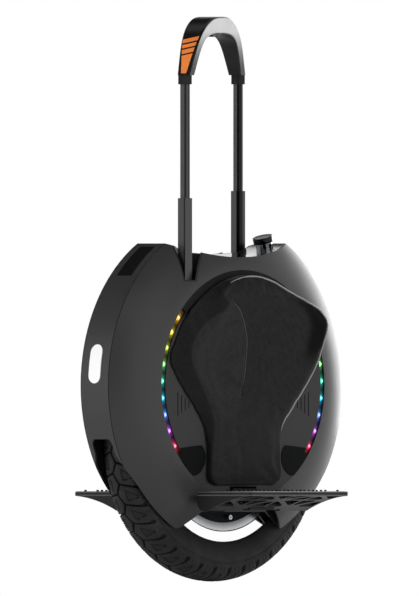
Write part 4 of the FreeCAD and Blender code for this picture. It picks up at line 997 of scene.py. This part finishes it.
class UNICYCLE_OT_pads(bpy.types.Operator):
    """Swell the two knee pads and sew their creases"""

    bl_idname = "unicycle.pads"
    bl_label = "Make the knee pads"

    def execute(self, context):
        sizes = context.scene.unicycle_pads
        pad = pad_shape("left_knee_pad")
        apply_modifier(pad, "REMESH", mode="VOXEL", voxel_size=sizes.voxel)
        soften(pad, 2)
        inflate(pad, sizes)
        soften(pad, 1)
        apply_modifier(pad, "SUBSURF", levels=1, render_levels=1)
        press_crease(pad)
        shade_pad(pad)
        smooth(pad, 60.0)
        dress(pad, finishes["pad_cloth"])
        twin = mirror_copy(pad, "right_knee_pad")
        for piece, node in ((pad, "left_pad"), (twin, "right_pad")):
            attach(piece, "chassis")
            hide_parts(node)
        # The trim and the fold carry painted highlights along the pad's rolled edge and its fold.
        trim = tube_along("left_pad_trim", pad_edge_path(pad), sizes.trim, finishes["trim_highlight"])
        fold = tube_along("left_pad_fold", pad_fold_path(pad), sizes.fold, finishes["fold_highlight"])
        for piece in (trim, mirror_copy(trim, "right_pad_trim"), fold, mirror_copy(fold, "right_pad_fold")):
            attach(piece, "chassis")
        return {"FINISHED"}


# The power button's cap: sides of its round, rounding of its edges, and the depth within which its top lies.
KNOB_SIDES, KNOB_BEVEL, KNOB_TOP = 64, 0.6 * MM, 0.2 * MM


class UNICYCLE_OT_knob(bpy.types.Operator):
    """Turn the power button's cap: a black skirt over its base, with a bright dished top"""

    bl_idname = "unicycle.knob"
    bl_label = "Make the power button's cap"

    def execute(self, context):
        sizes = context.scene.unicycle_knob
        upward = -Vector(JOINTS["power_button_press"]["axis"])
        corners = [vertex.co.copy() for vertex in frame["nodes"]["power_button"].data.vertices]
        top = max(corner.dot(upward) for corner in corners)
        ring = [corner for corner in corners if corner.dot(upward) > top - KNOB_TOP]
        middle = sum(ring, Vector()) / len(ring)
        knob = fresh("power_knob", "primitive_cylinder_add", vertices=KNOB_SIDES, radius=sizes.radius,
                     depth=sizes.height, location=(0, 0, -sizes.height / 2))
        settle(knob)
        self.pick(knob, lambda face: face.normal.z > 0.9)
        bpy.ops.mesh.inset(thickness=sizes.rim)
        pull((0, 0, -sizes.dish))
        self.pick(knob, lambda face: face.normal.z < -0.9)
        bpy.ops.mesh.inset(thickness=sizes.wall)
        pull((0, 0, sizes.height - 2 * sizes.wall))
        bpy.ops.object.mode_set(mode="OBJECT")
        apply_modifier(knob, "BEVEL", width=KNOB_BEVEL, segments=3, limit_method="ANGLE")
        dress(knob, finishes["button_metal"])
        knob.data.materials.append(finishes["button_face"].material)
        for face in knob.data.polygons:
            if face.normal.z > 0.5 and face.center.z > -2 * sizes.dish:
                face.material_index = 1
        knob.rotation_euler = upward.to_track_quat("Z", "Y").to_euler()
        knob.location = middle
        settle(knob)
        smooth(knob, 40.0)
        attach(knob, "power_button")
        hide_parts("power_button")
        return {"FINISHED"}

    def pick(self, piece, wanted):
        """Opens a piece in edit mode with only the wanted faces selected."""
        bpy.ops.object.mode_set(mode="EDIT")
        bpy.ops.mesh.select_mode(type="FACE")
        bpy.ops.mesh.select_all(action="DESELECT")
        bpy.ops.object.mode_set(mode="OBJECT")
        for face in piece.data.polygons:
            face.select = wanted(face)
        bpy.ops.object.mode_set(mode="EDIT")


class UNICYCLE_OT_lips(bpy.types.Operator):
    """Run a raised lip round the deck of each pedal"""

    bl_idname = "unicycle.lips"
    bl_label = "Make the pedal lips"

    def execute(self, context):
        sizes = context.scene.unicycle_pedals
        low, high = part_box("left_pedal")
        side, edge, corner = high.x - sizes.lip, high.y - sizes.lip, sizes.corner
        rear_y = low.y + sizes.root
        quarter = [(side, rear_y), (side, (rear_y + edge) / 2), (side, edge - corner),
                   (side - 0.2 * corner, edge - 0.2 * corner), (side - corner, edge), (side / 2, edge)]
        outline = quarter + [(0.0, edge)] + [(-x, y) for x, y in reversed(quarter)]
        path = [Vector((x, y, high.z)) for x, y in outline]
        # The lip's pale colour is a painted highlight along the deck's edge.
        lip = tube_along("left_pedal_lip", path, sizes.lip, finishes["pedal_lip_highlight"])
        for piece, body in ((lip, "left_pedal"), (mirror_copy(lip, "right_pedal_lip"), "right_pedal")):
            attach(piece, body)
        return {"FINISHED"}


# A bead: its dome beside its radius, the flare of its foot, the foot's step and height, and its flattening.
BEAD_DOME, BEAD_FLARE, BEAD_STEP, BEAD_FOOT, BEAD_FLAT = 0.9, 1.12, 0.1 * MM, 0.6 * MM, 0.62


class UNICYCLE_OT_beads(bpy.types.Operator):
    """Turn the light beads: a domed lens on a flanged foot, coloured from amber at the top to crimson"""

    bl_idname = "unicycle.beads"
    bl_label = "Make the light beads"

    def execute(self, context):
        sizes = context.scene.unicycle_beads
        lights = [bead_light("bead_%d" % n, colour, sizes.glow) for n, colour in enumerate(BEAD_COLOURS)]
        base_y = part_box("left_leds")[0].y
        beads = []
        for number, light in enumerate(lights):
            angle = sizes.first_angle - number * sizes.step_angle
            for turn in (angle, math.pi - angle):
                bead = self.bead(sizes.radius)
                for vertex in bead.data.vertices:
                    vertex.co += Vector((sizes.ring_radius * math.cos(turn), base_y,
                                         BODY_MIDDLE_Z + sizes.ring_radius * math.sin(turn)))
                dress(bead, light)
                beads.append(bead)
        left = join(beads, "left_light_beads")
        smooth(left, 50.0)
        right = mirror_copy(left, "right_light_beads")
        for piece, node in ((left, "left_leds"), (right, "right_leds")):
            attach(piece, "chassis")
            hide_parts(node)
        return {"FINISHED"}

    def bead(self, radius):
        """One bead at the origin, facing along Y: a sphere cut flat, pulled down to a foot with a rim."""
        bead = fresh("bead", "primitive_uv_sphere_add", segments=20, ring_count=12, radius=radius * BEAD_DOME)
        bpy.ops.object.mode_set(mode="EDIT")
        bpy.ops.mesh.select_mode(type="VERT")
        bpy.ops.mesh.select_all(action="SELECT")
        bpy.ops.mesh.bisect(plane_co=(0, 0, 0), plane_no=(0, 1, 0), clear_inner=True, use_fill=False)
        bpy.ops.mesh.select_all(action="DESELECT")
        bpy.ops.mesh.select_non_manifold()
        pull((0, -BEAD_STEP, 0))
        bpy.ops.transform.resize(value=(BEAD_FLARE, 1.0, BEAD_FLARE))
        pull((0, -BEAD_FOOT, 0))
        bpy.ops.mesh.fill()
        bpy.ops.mesh.select_all(action="SELECT")
        bpy.ops.mesh.normals_make_consistent(inside=False)
        bpy.ops.object.mode_set(mode="OBJECT")
        low = min(vertex.co.y for vertex in bead.data.vertices)
        high = max(vertex.co.y for vertex in bead.data.vertices)
        heart = bead.data.attributes.new("heart", "FLOAT", "POINT")
        for vertex, mark in zip(bead.data.vertices, heart.data):
            mark.value = (vertex.co.y - low) / (high - low)
            vertex.co.y = (vertex.co.y - low) * BEAD_FLAT
        return bead


# Places in the studio are metres towards the camera, to its right and up. Lamps and cards face this height.
STUDIO_AIM = Vector((0, 0, 0.4))
# Lamps: place, width, height, watts, and whether reflections see them.
LAMPS = {
    "key": ((1.5, 2.2, 1.5), 0.9, 0.9, 60.0, False),
    "fill": ((1.2, -2.6, 0.4), 1.2, 1.2, 62.0, False),
    "rim": ((-2.3, 1.3, 0.75), 2.6, 1.4, 40.0, True),
}
# Black cards: place and size.
FLAGS = {
    "flag_behind": ((6.0, 0.0, 1.0), 5.0),
    "flag_above": ((0.8, 0.1, 4.0), 5.0),
    "flag_front": ((3.2, -2.4, 3.2), 4.0),
    "flag_left": ((-1.5, -3.2, 3.2), 3.6),
    "flag_right": ((0.3, 2.6, 2.4), 2.6),
    "flag_far": ((-2.6, 2.2, 2.1), 2.0),
    "flag_back": ((-3.4, -0.6, 3.4), 3.0),
}
CAMERA_AWAY = 4.0
FLOOR_SIZE, FLOOR_DROP = 8.0, 0.5 * MM
SKY_LIGHT = 0.22


class UNICYCLE_OT_stage(bpy.types.Operator):
    """Set the floor, the soft light and the camera at the photograph's angle"""

    bl_idname = "unicycle.stage"
    bl_label = "Set the studio"

    def execute(self, context):
        studio = context.scene.unicycle_studio
        scene = context.scene
        scene.view_settings.view_transform = "Standard"
        towards = Vector((math.sin(studio.azimuth), math.cos(studio.azimuth), 0.0))
        right = Vector((-towards.y, towards.x, 0.0))
        camera = bpy.data.objects.new("camera", bpy.data.cameras.new("camera"))
        scene.collection.objects.link(camera)
        camera.data.type = "ORTHO"
        camera.data.ortho_scale = studio.scale
        camera.location = right * studio.aim_side + Vector((0, 0, studio.aim_z)) + towards * CAMERA_AWAY
        camera.rotation_euler = (-towards).to_track_quat("-Z", "Y").to_euler()
        scene.camera = camera
        self.light_world(scene)
        self.make_floor()
        for name, (place, size) in FLAGS.items():
            self.hang_flag(name, self.spot(towards, right, place), size)
        for name, (place, *lamp) in LAMPS.items():
            self.hang_lamp(scene, name, self.spot(towards, right, place), *lamp)
        return {"FINISHED"}

    def spot(self, towards, right, place):
        """A place in the studio as a point of the scene."""
        return towards * place[0] + right * place[1] + Vector((0, 0, place[2]))

    def hang_lamp(self, scene, name, place, width, height, power, shine):
        """A soft round lamp."""
        lamp = bpy.data.lights.new(name, "AREA")
        lamp.shape = "ELLIPSE"
        lamp.size = width
        lamp.size_y = height
        lamp.energy = power
        holder = bpy.data.objects.new(name, lamp)
        scene.collection.objects.link(holder)
        holder.location = place
        holder.visible_glossy = shine
        holder.rotation_euler = (STUDIO_AIM - place).to_track_quat("-Z", "Y").to_euler()

    def hang_flag(self, name, place, size):
        """A black card that only reflections see, so that dark plastic keeps its depth."""
        flag = fresh(name, "primitive_plane_add", size=size)
        flag.rotation_euler = (STUDIO_AIM - place).to_track_quat("Z", "Y").to_euler()
        flag.location = place
        settle(flag)
        dress(flag, moulded(name + "_card", "#020202", 1.0, 5.0, 0.02, specular=0.0))
        for ray in ("camera", "diffuse", "transmission", "shadow"):
            setattr(flag, "visible_" + ray, False)

    def light_world(self, scene):
        """White to the camera and in reflections, a soft grey for lighting."""
        world = bpy.data.worlds.new("studio")
        scene.world = world
        world.use_nodes = True
        tree = world.node_tree
        tree.nodes.clear()
        path = add(tree, "ShaderNodeLightPath").outputs
        seen = path["Is Camera Ray"]
        for ray in ("Is Glossy Ray", "Is Transmission Ray"):
            seen = add(tree, "ShaderNodeMath", {0: seen, 1: path[ray]}, operation="MAXIMUM").outputs["Value"]
        level = add(tree, "ShaderNodeMapRange", {"Value": seen, "To Min": SKY_LIGHT, "To Max": 1.0})
        sky = add(tree, "ShaderNodeBackground", {"Color": "#ffffff", "Strength": level.outputs["Result"]})
        output = add(tree, "ShaderNodeOutputWorld")
        tree.links.new(sky.outputs["Background"], output.inputs["Surface"])

    def make_floor(self):
        """A wide pale floor just below the tyre."""
        floor = fresh("floor", "primitive_plane_add", size=FLOOR_SIZE, location=(0, 0, -FLOOR_DROP))
        settle(floor)
        dress(floor, moulded("floor_card", "#f4f4f4", 0.9, 4.0, 0.02, tint=0.01))


class UNICYCLE_PT_panel(bpy.types.Panel):
    """Lists the steps that dress the unicycle"""

    bl_idname = "UNICYCLE_PT_panel"
    bl_label = "Unicycle"
    bl_space_type = "VIEW_3D"
    bl_region_type = "UI"
    bl_category = "Unicycle"

    def draw(self, context):
        for step in STEPS:
            self.layout.operator(step.bl_idname)


STEPS = [UNICYCLE_OT_finish, UNICYCLE_OT_tyre, UNICYCLE_OT_pads, UNICYCLE_OT_lips, UNICYCLE_OT_knob,
         UNICYCLE_OT_beads, UNICYCLE_OT_stage]
SETTINGS = {
    "unicycle_finishes": UnicycleFinishes,
    "unicycle_tyre": UnicycleTyreSizes,
    "unicycle_pads": UnicyclePadSizes,
    "unicycle_pedals": UnicyclePedalSizes,
    "unicycle_knob": UnicycleKnobSizes,
    "unicycle_beads": UnicycleBeadSizes,
    "unicycle_studio": UnicycleStudio,
}
CLASSES = [*SETTINGS.values(), *STEPS, UNICYCLE_PT_panel]


def register():
    for cls in CLASSES:
        bpy.utils.register_class(cls)
    for name, kind in SETTINGS.items():
        setattr(bpy.types.Scene, name, PointerProperty(type=kind))


def unregister():
    for name in SETTINGS:
        delattr(bpy.types.Scene, name)
    for cls in reversed(CLASSES):
        bpy.utils.unregister_class(cls)


def main():
    register()
    bpy.ops.unicycle.finish()
    bpy.ops.unicycle.tyre()
    bpy.ops.unicycle.pads()
    bpy.ops.unicycle.lips()
    bpy.ops.unicycle.knob()
    bpy.ops.unicycle.beads()
    bpy.ops.unicycle.stage()


if __name__ == "__main__":
    main()
